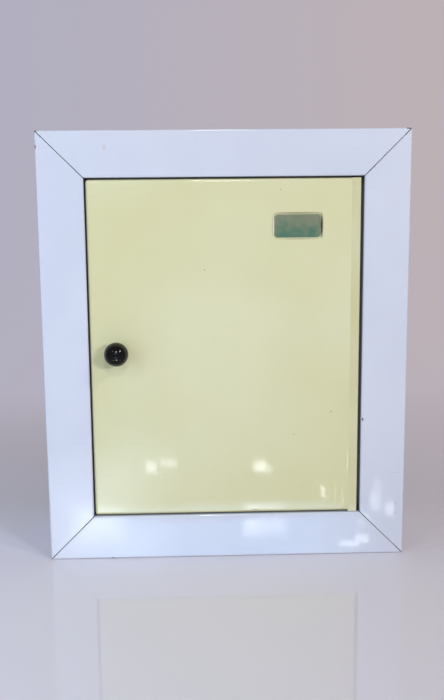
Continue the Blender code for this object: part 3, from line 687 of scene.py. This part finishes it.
shelfSizes = {
    "tops": {"lower": 150, "upper": 292},
    "back": 62.4,
    "front": -30,
    "hem": 8,
    "half": 183.4,
    "sheet": 1.0,
    "bends": (1.6,),
    "lines": 16,
    "across": ("x", spread(-26, 62, 16)),
    "wave": {"length": 80, "height": 0.14},
}
runnerSizes = {
    "leg": 8,
    "sheet": 1.0,
    "bends": (1.6,),
    "wall": 183.7,
    "near": -26,
    "far": 59.4,
    "under": 1.3,
}
for label, top in shelfSizes["tops"].items():
    front = shelfSizes["front"]
    path = [(shelfSizes["back"], top), (front, top), (front, top - shelfSizes["hem"])]
    shelf = foldSheet(path, shelfSizes, shelfSizes["half"] * mm)
    cutLines(shelf, *shelfSizes["across"])
    shelf.transform(Matrix(((0, 0, 1, 0), (1, 0, 0, 0), (0, 1, 0, 0), (0, 0, 0, 1))))
    ripple(shelf, shelfSizes["wave"])
    pointOutwards(shelf)
    finishPiece("foldedShelf" + label.capitalize(), shelf, "cabinet", "shelf_" + label)
    for hand, way in (("left", -1), ("right", 1)):
        leg = runnerSizes["leg"]
        reach = (runnerSizes["far"] - runnerSizes["near"]) / 2 * mm
        angle = foldSheet([(leg, 0), (0, 0), (0, -leg)], runnerSizes, reach)
        turn = Matrix(((-way, 0, 0, 0), (0, 0, way, 0), (0, 1, 0, 0), (0, 0, 0, 1)))
        middle = (runnerSizes["far"] + runnerSizes["near"]) / 2
        spot = Vector((way * runnerSizes["wall"], middle, top - runnerSizes["under"])) * mm
        angle.transform(Matrix.Translation(spot) @ turn)
        pointOutwards(angle)
        name = f"shelfAngle{label.capitalize()}{hand.capitalize()}"
        finishPiece(name, angle, "cabinet", f"runner_{label}_{hand}")
print("shelves made")


# Door pan: drawn sheet with round edges, and the pressed recess for the badge

panLow, panHigh = nodeBox("door_pan")
stileLow, stileHigh = nodeBox("hinge_stile")
plateLow, plateHigh = nodeBox("badge_plate")
seam = {
    "at": (panHigh.x + stileLow.x) / 2,  # filled and sprayed over, so only a shallow valley shows
    "depth": 0.06,
    "half": 1.2,
    "roll": 0.16,  # the pan's sheet rises in a long low roll before it
    "rollAt": 6.5,
    "rollHalf": 4.0,
    "rollReach": 2.4,  # half widths before its middle that take its finer lines
    "rollLines": 0.7,
}
panSizes = {
    "radius": 3.0,
    "sheet": 1.0,
    "lines": 13,
    "fineLines": 0.65,
    "wave": {"length": 120, "height": 0.22},
    "hold": 40,  # millimetres over which the wave dies away towards the rim
}
recessSizes = {
    "centre": ((plateLow.x + plateHigh.x) / 2, (plateLow.z + plateHigh.z) / 2),
    "half": ((plateHigh.x - plateLow.x) / 2 + 2.2, (plateHigh.z - plateLow.z) / 2 + 2.2),
    "corner": 4.6,
    "depth": 1.6,
    "slope": 1.9,
    "lip": 0.45,  # a faint raised roll round the mouth, as a press leaves
    "lipHeight": 0.10,
    "lipHalf": 0.9,
    "margin": 3,
}


def recessDepth(x, z):
    # how far the press pushed the sheet back at this place, in millimetres
    dx = abs(x - recessSizes["centre"][0]) - recessSizes["half"][0] + recessSizes["corner"]
    dz = abs(z - recessSizes["centre"][1]) - recessSizes["half"][1] + recessSizes["corner"]
    outside = math.hypot(max(dx, 0), max(dz, 0)) + min(max(dx, dz), 0) - recessSizes["corner"]
    share = min(max(-outside / recessSizes["slope"], 0), 1)
    wall = share * share * (3 - 2 * share) * recessSizes["depth"]
    fromLip = (outside - recessSizes["lip"]) / recessSizes["lipHalf"]
    return wall - recessSizes["lipHeight"] * math.exp(-fromLip ** 2)


def seamDepth(x):
    # the valley over the filled joint between pan and stile and the roll beside it, in millimetres
    valley = seam["depth"] * math.exp(-(((x - seam["at"]) / seam["half"]) ** 2))
    return valley - seam["roll"] * math.exp(-(((x - seam["at"] + seam["rollAt"]) / seam["rollHalf"]) ** 2))


radius = panSizes["radius"]
pan = boxShape(panLow, (seam["at"] + 2 * radius, panHigh.y, panHigh.z), mm)
pan.normal_update()
roundEdges(pan, [edge for edge in pan.edges if min(vert.co.y for vert in edge.verts) < -60 * mm], radius, 7)
rim = cutPlane(pan, (seam["at"] * mm, 0, 0), (1, 0, 0), True)
bmesh.ops.contextual_create(pan, geom=rim)
bmesh.ops.recalc_face_normals(pan, faces=pan.faces)
rear = [face for face in pan.faces if face.normal.y > 0.9]
bmesh.ops.delete(pan, geom=rear, context="FACES_ONLY")
leftOf, rightOf, under, over = [
    centre + way * (half + recessSizes["margin"])
    for centre, half in zip(recessSizes["centre"], recessSizes["half"])
    for way in (-1, 1)
]
coarse, fine = panSizes["lines"], panSizes["fineLines"]
rollFrom = seam["at"] - seam["rollAt"] - seam["rollReach"] * seam["rollHalf"]
stopsAcross = (panLow.x + radius, leftOf, rightOf, rollFrom, seam["at"])
stopsUp = (panLow.z + radius, under, over, panHigh.z - radius)
for axis, stops, steps in (
    ("x", stopsAcross, (coarse, fine, coarse, seam["rollLines"])),
    ("z", stopsUp, (coarse, fine, coarse)),
):
    for first, last, step in zip(stops, stops[1:], steps):
        cutLines(pan, axis, spread(first, last, step))
for vert in pan.verts:
    if vert.co.y < (panLow.y + 0.1) * mm:
        x = vert.co.x / mm
        z = vert.co.z / mm
        bulge = noise.noise(vert.co / (panSizes["wave"]["length"] * mm)) * panSizes["wave"]["height"]
        inside = min(x - panLow.x, seam["at"] - x, z - panLow.z, panHigh.z - z)
        hold = min(1, max(0, inside - radius) / panSizes["hold"])
        vert.co.y += (recessDepth(x, z) + seamDepth(x) + bulge * hold) * mm
panPiece = finishPiece("creamDoorPan", pan, "door", "door_pan", 50)
wall = panPiece.modifiers.new("sheet", "SOLIDIFY")
wall.thickness = panSizes["sheet"] * mm
wall.offset = -1
panPiece.modifiers.move(1, 0)

stileSizes = {
    "sheet": 1.0,
    "bends": (0, 1.2),
    "soft": 0.2,
    "lines": 12,
    "across": (0.6, 1.1, 1.6, 2.2, 3, 4),  # millimetres from the seam, where its valley needs them
    "wave": {"length": 75, "height": 0.05},
}
reach = (stileHigh.z - stileLow.z) / 2 * mm
stilePath = [
    (seam["at"], stileHigh.y),
    (seam["at"], stileLow.y),
    (stileHigh.x, stileLow.y),
    (stileHigh.x, stileHigh.y),
]
stile = foldSheet(stilePath, stileSizes, reach)
cutLines(stile, "x", [seam["at"] + step for step in stileSizes["across"]])
pointOutwards(stile)
ends = [
    edge
    for edge in stile.edges
    if edge.calc_face_angle(0) > 1.3 and all(abs(abs(vert.co.z) - reach) < 0.01 * mm for vert in edge.verts)
]
roundEdges(stile, ends, stileSizes["soft"], 2)
for vert in stile.verts:
    if vert.co.y < (stileLow.y + 0.5) * mm:
        vert.co.y += seamDepth(vert.co.x / mm) * mm
stile.transform(Matrix.Translation((0, 0, (stileHigh.z + stileLow.z) / 2 * mm)))
wave = stileSizes["wave"]
for vert in stile.verts:
    vert.co.x += noise.noise(vert.co / (wave["length"] * mm)) * wave["height"] * mm
finishPiece("creamTurningStile", stile, "door", "hinge_stile", finishes=[stileEnamel])

linerSizes = {"edge": 0.2, "steps": 2, "lines": 15, "inset": 3, "wave": {"length": 90, "height": 0.12}}
inset = linerSizes["inset"]
spans = (("x", panLow.x + inset, panHigh.x - inset), ("z", panLow.z + inset, panHigh.z - inset))
liner = refinedCopy("door_liner", linerSizes, spans)
finishPiece("whiteDoorLiner", liner, "door", "door_liner")
print("door made")


# Turned pieces

def turnPiece(profile, steps):
    # spin a profile of (radius, height, rounding) in millimetres about Z
    shape = bmesh.new()
    points = [shape.verts.new((radius * mm, 0, height * mm)) for radius, height, rounding in profile]
    for pair in zip(points, points[1:]):
        shape.edges.new(pair)
    if min(radius for radius, height, rounding in profile) > 0:
        shape.edges.new((points[-1], points[0]))
    for point, (radius, height, rounding) in zip(points, profile):
        if rounding:
            roundEdges(shape, [point], rounding, 4, "VERTICES")
    bmesh.ops.spin(
        shape,
        geom=shape.verts[:] + shape.edges[:],
        cent=(0, 0, 0),
        axis=(0, 0, 1),
        angle=math.tau,
        steps=steps,
        use_merge=True,
    )
    pointOutwards(shape)
    return shape


def ballArc(radius, height, first, last, steps):
    # points of a ball's outline between two angles above its equator
    points = []
    for step in range(steps + 1):
        angle = math.radians(first + (last - first) * step / steps)
        points.append((radius * math.cos(angle), height + radius * math.sin(angle), 0))
    return points


knobLow, knobHigh = nodeBox("knob")
knobSizes = {
    "place": ((knobLow.x + knobHigh.x) / 2, panLow.y - 0.3, 220.0),
    "radius": 12.2,
    "neck": 6.5,
    "foot": 7.5,
    "neckHeight": 5.0,
    "bore": 2.3,
    "boreDepth": 12.0,
}
ball, neck, foot, bore = [knobSizes[key] for key in ("radius", "neck", "foot", "bore")]
tall, deep = knobSizes["neckHeight"], knobSizes["boreDepth"]
middle = tall + (ball ** 2 - neck ** 2) ** 0.5
start = -math.degrees(math.acos(neck / ball))
knobProfile = [(0, deep, 0), (bore, deep, 0), (bore, 0, 0.3), (foot, 0, 0.35), (foot, tall * 0.3, 0.5)]
knobProfile += [(neck, tall * 0.6, 0.5)] + ballArc(ball, middle, start, 90, 40)
knobProfile[-1] = (0, middle + ball, 0)
knob = turnPiece(knobProfile, 96)
knob.transform(standAt(knobSizes["place"], (0, -1, 0)))
finishPiece("blackBallKnob", knob, "door", "knob", 40)

badgeSizes = {"corner": 3.0, "edge": 0.15, "lines": 2.2, "bowLength": 14, "bow": 0.12}
badge = boxShape(plateLow, plateHigh, mm)
deep = [edge for edge in badge.edges if abs(edge.verts[0].co.y - edge.verts[1].co.y) > 0.1 * mm]
roundEdges(badge, deep, badgeSizes["corner"], 8)
badge.normal_update()
frontRim = [
    edge
    for edge in badge.edges
    if edge.calc_face_angle(0) > 1.3 and all(vert.co.y < (plateLow.y + 0.1) * mm for vert in edge.verts)
]
roundEdges(badge, frontRim, badgeSizes["edge"], 3)
cutLines(badge, "x", spread(plateLow.x, plateHigh.x, badgeSizes["lines"]))
cutLines(badge, "z", spread(plateLow.z, plateHigh.z, badgeSizes["lines"]))
for vert in badge.verts:
    vert.co.y += noise.noise(vert.co / (badgeSizes["bowLength"] * mm)) * badgeSizes["bow"] * mm
pointOutwards(badge)
finishPiece("bareBadgePlate", badge, "door", "badge_plate")

pinSizes = {"radius": 2.0, "head": 3.0, "headHeight": 1.2}
for label, way in (("top", 1), ("bottom", -1)):
    low, high = nodeBox("hinge_pin_" + label)
    length = high.z - low.z - pinSizes["headHeight"]
    start = (low.z if way > 0 else high.z) + way * pinSizes["headHeight"]
    radius, head, thick = [pinSizes[key] for key in ("radius", "head", "headHeight")]
    profile = [(0, -thick, 0), (head, -thick, 0.3), (head, 0, 0.15), (radius, 0, 0)]
    profile += [(radius, length - 1, 0.3), (1, length, 0.2), (0, length, 0)]
    pin = turnPiece(profile, 40)
    pin.transform(standAt((hinge[0] / mm, hinge[1] / mm, start), (0, 0, way)))
    finishPiece("pivotPin" + label.capitalize(), pin, "door", "hinge_pin_" + label)
print("turned pieces made")


# Screws, rivets, bushes, spacer tube and buffers

screwSizes = {
    "shank": {"frame": 1.75, "catch": 1.5, "knob": 2.0},
    "head": 2.0,
    "crown": [(0, 1, 0), (0.45, 0.99, 0), (0.84, 0.82, 0.4), (1, 0.42, 0.3)],  # out, up and rounding
    "pitch": 0.7,
    "threadStart": 0.35,
    "threadDepth": 0.22,
    "slot": 0.9,
    "slotDepth": 0.75,
    "slotTurns": (12, 71, 38, 95, 150, 22, 118, 64, 5, 84, 33),  # degrees, as a hand leaves them
}


def makeScrew(node, body, slotTurn):
    # slotted pan-head screw with a rolled thread, its head towards the back
    low, high = nodeBox(node)
    shank = screwSizes["shank"][node.split("_")[0]]
    head = (high.x - low.x) / 2
    tall = screwSizes["head"]
    seat = high.y - tall
    length = seat - low.y
    root = shank - screwSizes["threadDepth"]
    profile = [(head * out, -tall * up, rounding) for out, up, rounding in screwSizes["crown"]]
    profile += [(head, 0, 0.12), (root, 0, 0)]
    for number in range(int((length - shank) / screwSizes["pitch"])):
        start = screwSizes["threadStart"] + number * screwSizes["pitch"]
        profile += [(root, start, 0), (shank, start + screwSizes["pitch"] / 2, 0)]
    profile += [(root, length - shank * 0.6, 0), (root * 0.55, length, 0.2), (0, length, 0)]
    screw = turnPiece(profile, 28)
    half = screwSizes["slot"] / 2
    slot = boxShape((-2 * head, -half, -tall - 1), (2 * head, half, -tall + screwSizes["slotDepth"]), mm)
    slot.transform(Matrix.Rotation(math.radians(slotTurn), 4, "Z"))
    screw = cutAway(screw, slot)
    screw.transform(standAt(((low.x + high.x) / 2, seat, (low.z + high.z) / 2), (0, -1, 0)))
    finishSmall(node, screw, body)


screws = [node for node in frame["nodes"] if "_screw" in node]
for node, slotTurn in zip(sorted(screws), screwSizes["slotTurns"]):
    makeScrew(node, "door" if node.startswith("knob") else "cabinet", slotTurn)

rivetSizes = {
    "shank": 1.5,
    "head": 2.8,
    "headHeight": 1.0,
    "dome": [(0.0, 1.0), (0.45, 0.93), (0.78, 0.68), (0.96, 0.3), (1.0, 0.0)],  # out and up
}
for number in (1, 2, 3):
    node = f"stile_rivet_{number}"
    low, high = nodeBox(node)
    head, tall, shank = rivetSizes["head"], rivetSizes["headHeight"], rivetSizes["shank"]
    grip = high.x - low.x - 2 * tall
    profile = [(head * out, -tall * up, 0) for out, up in rivetSizes["dome"]]
    profile += [(shank, 0, 0), (shank, grip, 0)]
    profile += [(head * out, grip + tall * up, 0) for out, up in rivetSizes["dome"][::-1]]
    rivet = turnPiece(profile, 32)
    rivet.transform(standAt((low.x + tall, (low.y + high.y) / 2, (low.z + high.z) / 2), (1, 0, 0)))
    finishSmall(node, rivet, "door")

bushSizes = {"bore": 2.17, "wall": 1.05, "flange": 5.0, "flangeAt": 1.5, "flangeHeight": 1.0}
for label, way in (("top", 1), ("bottom", -1)):
    node = "hinge_bush_" + label
    low, high = nodeBox(node)
    length = high.z - low.z
    bore, wide, start = [bushSizes[key] for key in ("bore", "flange", "flangeAt")]
    barrel = bore + bushSizes["wall"]
    stop = start + bushSizes["flangeHeight"]
    profile = [
        (bore, 0, 0.15),
        (barrel, 0, 0.15),
        (barrel, start, 0),
        (wide, start, 0.2),
        (wide, stop, 0.2),
        (barrel, stop, 0.1),
        (barrel, length, 0.3),
        (bore, length, 0.15),
    ]
    bush = turnPiece(profile, 48)
    bush.transform(standAt((hinge[0] / mm, hinge[1] / mm, low.z if way > 0 else high.z), (0, 0, way)))
    finishSmall(node, bush)

spacerSizes = {"bore": 2.3, "outer": 3.9, "edge": 0.2}
low, high = nodeBox("knob_spacer")
spacerEnds = (0, high.y - low.y)
profile = [(spacerSizes["bore"], end, spacerSizes["edge"]) for end in spacerEnds]
profile += [(spacerSizes["outer"], end, spacerSizes["edge"]) for end in spacerEnds[::-1]]
spacer = turnPiece(profile, 40)
spacer.transform(standAt((knobSizes["place"][0], high.y, knobSizes["place"][2]), (0, -1, 0)))
finishSmall("knob_spacer", spacer, "door")

bufferSizes = {"radius": 3.4, "stem": 1.4, "bulb": 2.2, "grip": 1.8}
for label in ("upper", "lower"):
    node = "door_buffer_" + label
    low, high = nodeBox(node)
    radius, stem, bulb, grip = [bufferSizes[key] for key in ("radius", "stem", "bulb", "grip")]
    head = high.y - low.y - grip - bulb
    profile = [
        (0, -head, 0),
        (radius * 0.8, -head, 0.25),
        (radius, -head / 2, 0.3),
        (radius, 0, 0.2),
        (stem, 0, 0),
        (stem, grip, 0),
        (bulb, grip, 0.25),
        (stem, grip + bulb, 0.4),
        (0, grip + bulb, 0),
    ]
    bumper = turnPiece(profile, 36)
    bumper.transform(standAt(((low.x + high.x) / 2, low.y + head, (low.z + high.z) / 2), (0, 1, 0)))
    finishSmall(node, bumper, smoothAngle=50)
print("small turned parts made")


# Blocks: pivots, magnetic catch and corner keys

def easedBlock(low, high, edge, steps=4):
    # a block between two corners in metres, with rounded edges
    block = boxShape(low, high)
    roundEdges(block, block.edges[:], edge, steps)
    return block


blockSizes = {"edge": 0.5, "bore": 2.3, "boreLength": 40}
for label in ("top", "bottom"):
    node = "pivot_block_" + label
    low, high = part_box(node)
    hole = ((*hinge, (low.z + high.z) / 2), (0, 0, 1), blockSizes["bore"], blockSizes["boreLength"])
    pivot = cutAway(easedBlock(low, high, blockSizes["edge"]), roundHoles([hole]))
    finishSmall(node, pivot, "door")

catchSizes = {
    "edge": 1.2,
    "pocket": 0.3,
    "pocketDepth": 8.0,
    "screwHole": 1.8,
    "screwHoleLength": 60,
    "inner": {"catch_pole_left": 0.2, "catch_pole_right": 0.2, "catch_magnet": 0.4},  # edges' radius
}
catchLow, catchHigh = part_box("catch_housing")
margin = Vector((1, 0, 1)) * catchSizes["pocket"] * mm
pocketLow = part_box("catch_pole_left")[0] - margin - Vector((0, 0.02, 0))
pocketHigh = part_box("catch_pole_right")[1] + margin
pocketHigh.y = catchLow.y + catchSizes["pocketDepth"] * mm
catchBody = cutAway(easedBlock(catchLow, catchHigh, catchSizes["edge"], 6), boxShape(pocketLow, pocketHigh))
catchHoles = []
for node in ("catch_screw_upper", "catch_screw_lower"):
    low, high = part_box(node)
    catchHoles.append(((low + high) / 2, (0, 1, 0), catchSizes["screwHole"], catchSizes["screwHoleLength"]))
finishSmall("catch_housing", cutAway(catchBody, roundHoles(catchHoles)))
for node, edge in catchSizes["inner"].items():
    finishSmall(node, easedBlock(*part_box(node), edge))

keySizes = {"edge": 0.35, "steps": 3}
for node in sorted(frame["nodes"]):
    if node.startswith("corner_key"):
        finishSmall(node, refinedCopy(node, keySizes, ()))
print("blocks and corner keys made")


# Stage: a pale sweep, and soft lamps at a plain level

stageLook = {
    "paint": "#DDD7DC",
    "wallLeft": "#B0B0C4",
    "wallRight": "#BDB2B6",
    "floorGloss": 0.03,
    "floorMirror": 0.8,
    "wallGloss": 0.75,
    "wallAt": 2.3,
    "wallTop": 4.0,
    "front": -7.5,
    "half": 5.0,
    "bend": 1000,  # millimetres, the sweep's radius
}
run = [(stageLook["front"], 0), (stageLook["wallAt"], 0), (stageLook["wallAt"], stageLook["wallTop"])]
sweep = drawStrip([(-stageLook["half"], y, z) for y, z in run], (2 * stageLook["half"], 0, 0))
roundEdges(sweep, [edge for edge in sweep.edges if len(edge.link_faces) == 2], stageLook["bend"], 24)
sweepPiece = addObject("paleSweep", sweep)
for facet in sweepPiece.data.polygons:
    facet.use_smooth = facet.normal.z < 0.9999  # the floor stays a flat mirror
# Pale sweep paint: gloss where the cabinet stands and matt where it rises. To the camera and to mirror
# rays the risen part has its own even tone, a little bluer on the left.
material, tree, shader, place = newFinish("paleSweepPaint", {"Base Color": toLinear(stageLook["paint"])})
spot = addNode(tree, "SeparateXYZ", {}, {"Vector": place}).outputs
rough = mapped(tree, spot["Z"], (0.0, 0.5), (stageLook["floorGloss"], stageLook["wallGloss"]))
tree.links.new(rough, shader.inputs["Roughness"])
tone = mixed(tree, mapped(tree, spot["X"], (-0.9, 0.7)), stageLook["wallLeft"], stageLook["wallRight"])
glow = addNode(tree, "Emission", {}, {"Color": tone})
rise = mapped(tree, spot["Y"], (0.12, 0.75), (0, 0.95))
rays = addNode(tree, "LightPath").outputs
# to the rays that the gloss enamel sends down, the floor is a mirror, so the front shows the lamps in it
mirror = addNode(tree, "BsdfAnisotropic", {"Color": (1, 1, 1, 1), "Roughness": stageLook["floorGloss"]})
mirrored = maths(tree, "MULTIPLY", rays["Is Glossy Ray"], stageLook["floorMirror"])
top = addNode(tree, "MixShader", {}, {0: mirrored, 1: shader.outputs[0], 2: mirror.outputs[0]})
seen = maths(tree, "MAXIMUM", rays["Is Camera Ray"], rays["Is Glossy Ray"])
share = maths(tree, "MULTIPLY", seen, rise)
paint = addNode(tree, "MixShader", {}, {0: share, 1: top.outputs[0], 2: glow.outputs[0]})
output = next(node for node in tree.nodes if node.type == "OUTPUT_MATERIAL")
tree.links.new(paint.outputs[0], output.inputs["Surface"])
sweepPiece.data.materials.append(material)

lampLook = {
    "target": (0, -0.03, 0.2),
    # each near lamp's azimuth from the front towards the right, elevation, metres from the target, and
    # share of the light there, of a full level of 1
    "near": {
        "keySoftbox": {"azimuth": 32, "elevation": 15, "distance": 3.4, "size": (0.45, 0.45), "share": 0.43,
                       "colour": "#EDF1FF", "mirrored": False},
        "leftWindow": {"azimuth": -62, "elevation": 12, "distance": 0.75, "size": (0.9, 0.6), "share": 0.66,
                       "colour": "#BCDDFF", "mirrored": False},
        "highLampLeft": {"azimuth": -37, "elevation": 36, "distance": 2.5, "size": (0.14, 0.14),
                         "share": 0.05, "colour": "#F4F6FF"},
        "highLampMiddle": {"azimuth": 2, "elevation": 35, "distance": 2.5, "size": (0.20, 0.14),
                           "share": 0.14, "colour": "#F8FAFF"},
        "highLampRight": {"azimuth": 47, "elevation": 38, "distance": 2.5, "size": (0.16, 0.16),
                          "share": 0.17, "colour": "#F4F6FF"},
    },
    "face": -0.0637,  # between the frame's face and the door's
    "far": 6.0,
    "sheetStep": 0.05,
    "paneColour": "#F2F7FF",
    # far window panes: the place on the cabinet's front, in millimetres, where the eye finds each one's
    # image by way of the mirror in the floor, its size, and its glow; one with steps is a stack of
    # sheets, each larger than the one before it, so that its rim is soft
    "panes": [
        ("paneA", (34, 100), (0.09, 0.09), 9, {}),
        ("paneARight", (40, 96), (0.11, 0.07), 5, {}),
        ("paneB", (-81, 99), (0.07, 0.07), 8, {}),
        ("paneBRight", (-63, 104), (0.11, 0.05), 7, {}),
        ("paneC", (174, 48), (0.07, 0.08), 6, {}),
        ("paneCHigh", (210, 97), (0.10, 0.14), 6, {}),
        ("paneD", (102, 66), (0.03, 0.11), 10, {}),
        ("paneE", (158, 57), (0.05, 0.11), 2.5, {"steps": 2, "grow": (0.05, 0.04)}),
        ("paneEHigh", (160, 74), (0.04, 0.06), 4, {}),
        ("paneF", (-134, 38), (0.10, 0.09), 1.5, {"steps": 4, "grow": (0.10, 0.06)}),
        ("paneG", (28, 34), (0.08, 0.09), 2.2, {"steps": 3, "grow": (0.04, 0.05)}),
        ("paneGRight", (50, 34), (0.09, 0.09), 1.5, {"steps": 3, "grow": (0.05, 0.06)}),
        ("paneH", (130, 12), (0.13, 0.05), 9, {}),
        ("paneHHigh", (144, 18), (0.10, 0.05), 9, {}),
        ("paneHTop", (144, 36), (0.06, 0.06), 5, {}),
        ("gardenWindow", (-150, 40), (0.3, 0.4), 0.7,
         {"steps": 6, "grow": (0.24, 0.16), "far": 6.5, "colour": "#D2E4FF"}),
        ("skyGlow", (0, 14), (1.4, 0.36), 1.1, {"steps": 4, "grow": (0.30, 0.05), "colour": "#94C8FF"}),
    ],
    "ambient": 0.25,
    "ambientColour": "#FFF3DE",
    "behind": "#B8B2BC",  # what the camera sees past the sweep
}


def addLamp(name, look, spot, target):
    # a soft lamp that faces its target, as bright as its glow or as its share of the light there asks
    away = spot - target
    lamp = bpy.data.lights.new(name, "AREA")
    lamp.shape = "RECTANGLE"
    lamp.size, lamp.size_y = look["size"]
    lamp.color = toLinear(look.get("colour", lampLook["paneColour"]))[:3]
    if "glow" in look:
        lamp.energy = look["glow"] * math.pi * lamp.size * lamp.size_y
    else:
        lamp.energy = look["share"] * (math.pi * away.length) ** 2
    holder = bpy.data.objects.new(name, lamp)
    holder.visible_glossy = look.get("mirrored", True)
    holder.matrix_world = Matrix.Translation(spot) @ away.to_track_quat("Z", "Y").to_matrix().to_4x4()
    bpy.context.scene.collection.objects.link(holder)


target = Vector(lampLook["target"])
for name, look in lampLook["near"].items():
    azimuth = math.radians(look["azimuth"])
    elevation = math.radians(look["elevation"])
    flat = math.cos(elevation)
    way = Vector((flat * math.sin(azimuth), -flat * math.cos(azimuth), math.sin(elevation)))
    addLamp(name, look, target + way * look["distance"], target)
face = lampLook["face"]
eyeX, eyeY, eyeZ = eye["place"]
behindFace = 2 * face - eyeY  # the eye's mirror image in the cabinet's front
underFloor = target * Vector((1, 1, -1))  # the target's image in the floor
for name, image, sides, glow, look in lampLook["panes"]:
    for step in range(look.get("steps", 1)):
        far = look.get("far", lampLook["far"]) + step * lampLook["sheetStep"]
        stretch = (behindFace + far) / (behindFace - face)
        x = eyeX + (image[0] * mm - eyeX) * stretch
        z = (eyeZ - image[1] * mm) * stretch - eyeZ
        size = [side + step * more for side, more in zip(sides, look.get("grow", (0, 0)))]
        addLamp(f"{name}{step}", dict(look, size=size, glow=glow), Vector((x, -far, z)), underFloor)

world = bpy.data.worlds.new("softRoom")
bpy.context.scene.world = world
world.use_nodes = True
tree = world.node_tree
tree.nodes.clear()
ambientColour = toLinear(lampLook["ambientColour"])
ambient = addNode(tree, "Background", {"Color": ambientColour, "Strength": lampLook["ambient"]})
behind = addNode(tree, "Background", {"Color": toLinear(lampLook["behind"]), "Strength": 1.0})
seen = addNode(tree, "LightPath").outputs["Is Camera Ray"]
either = addNode(tree, "MixShader", {}, {0: seen, 1: ambient.outputs[0], 2: behind.outputs[0]})
addNode(tree, "OutputWorld", {}, {"Surface": either.outputs[0]})
bpy.context.scene.view_settings.view_transform = "Standard"
print("stage set")

bpy.context.view_layer.update()
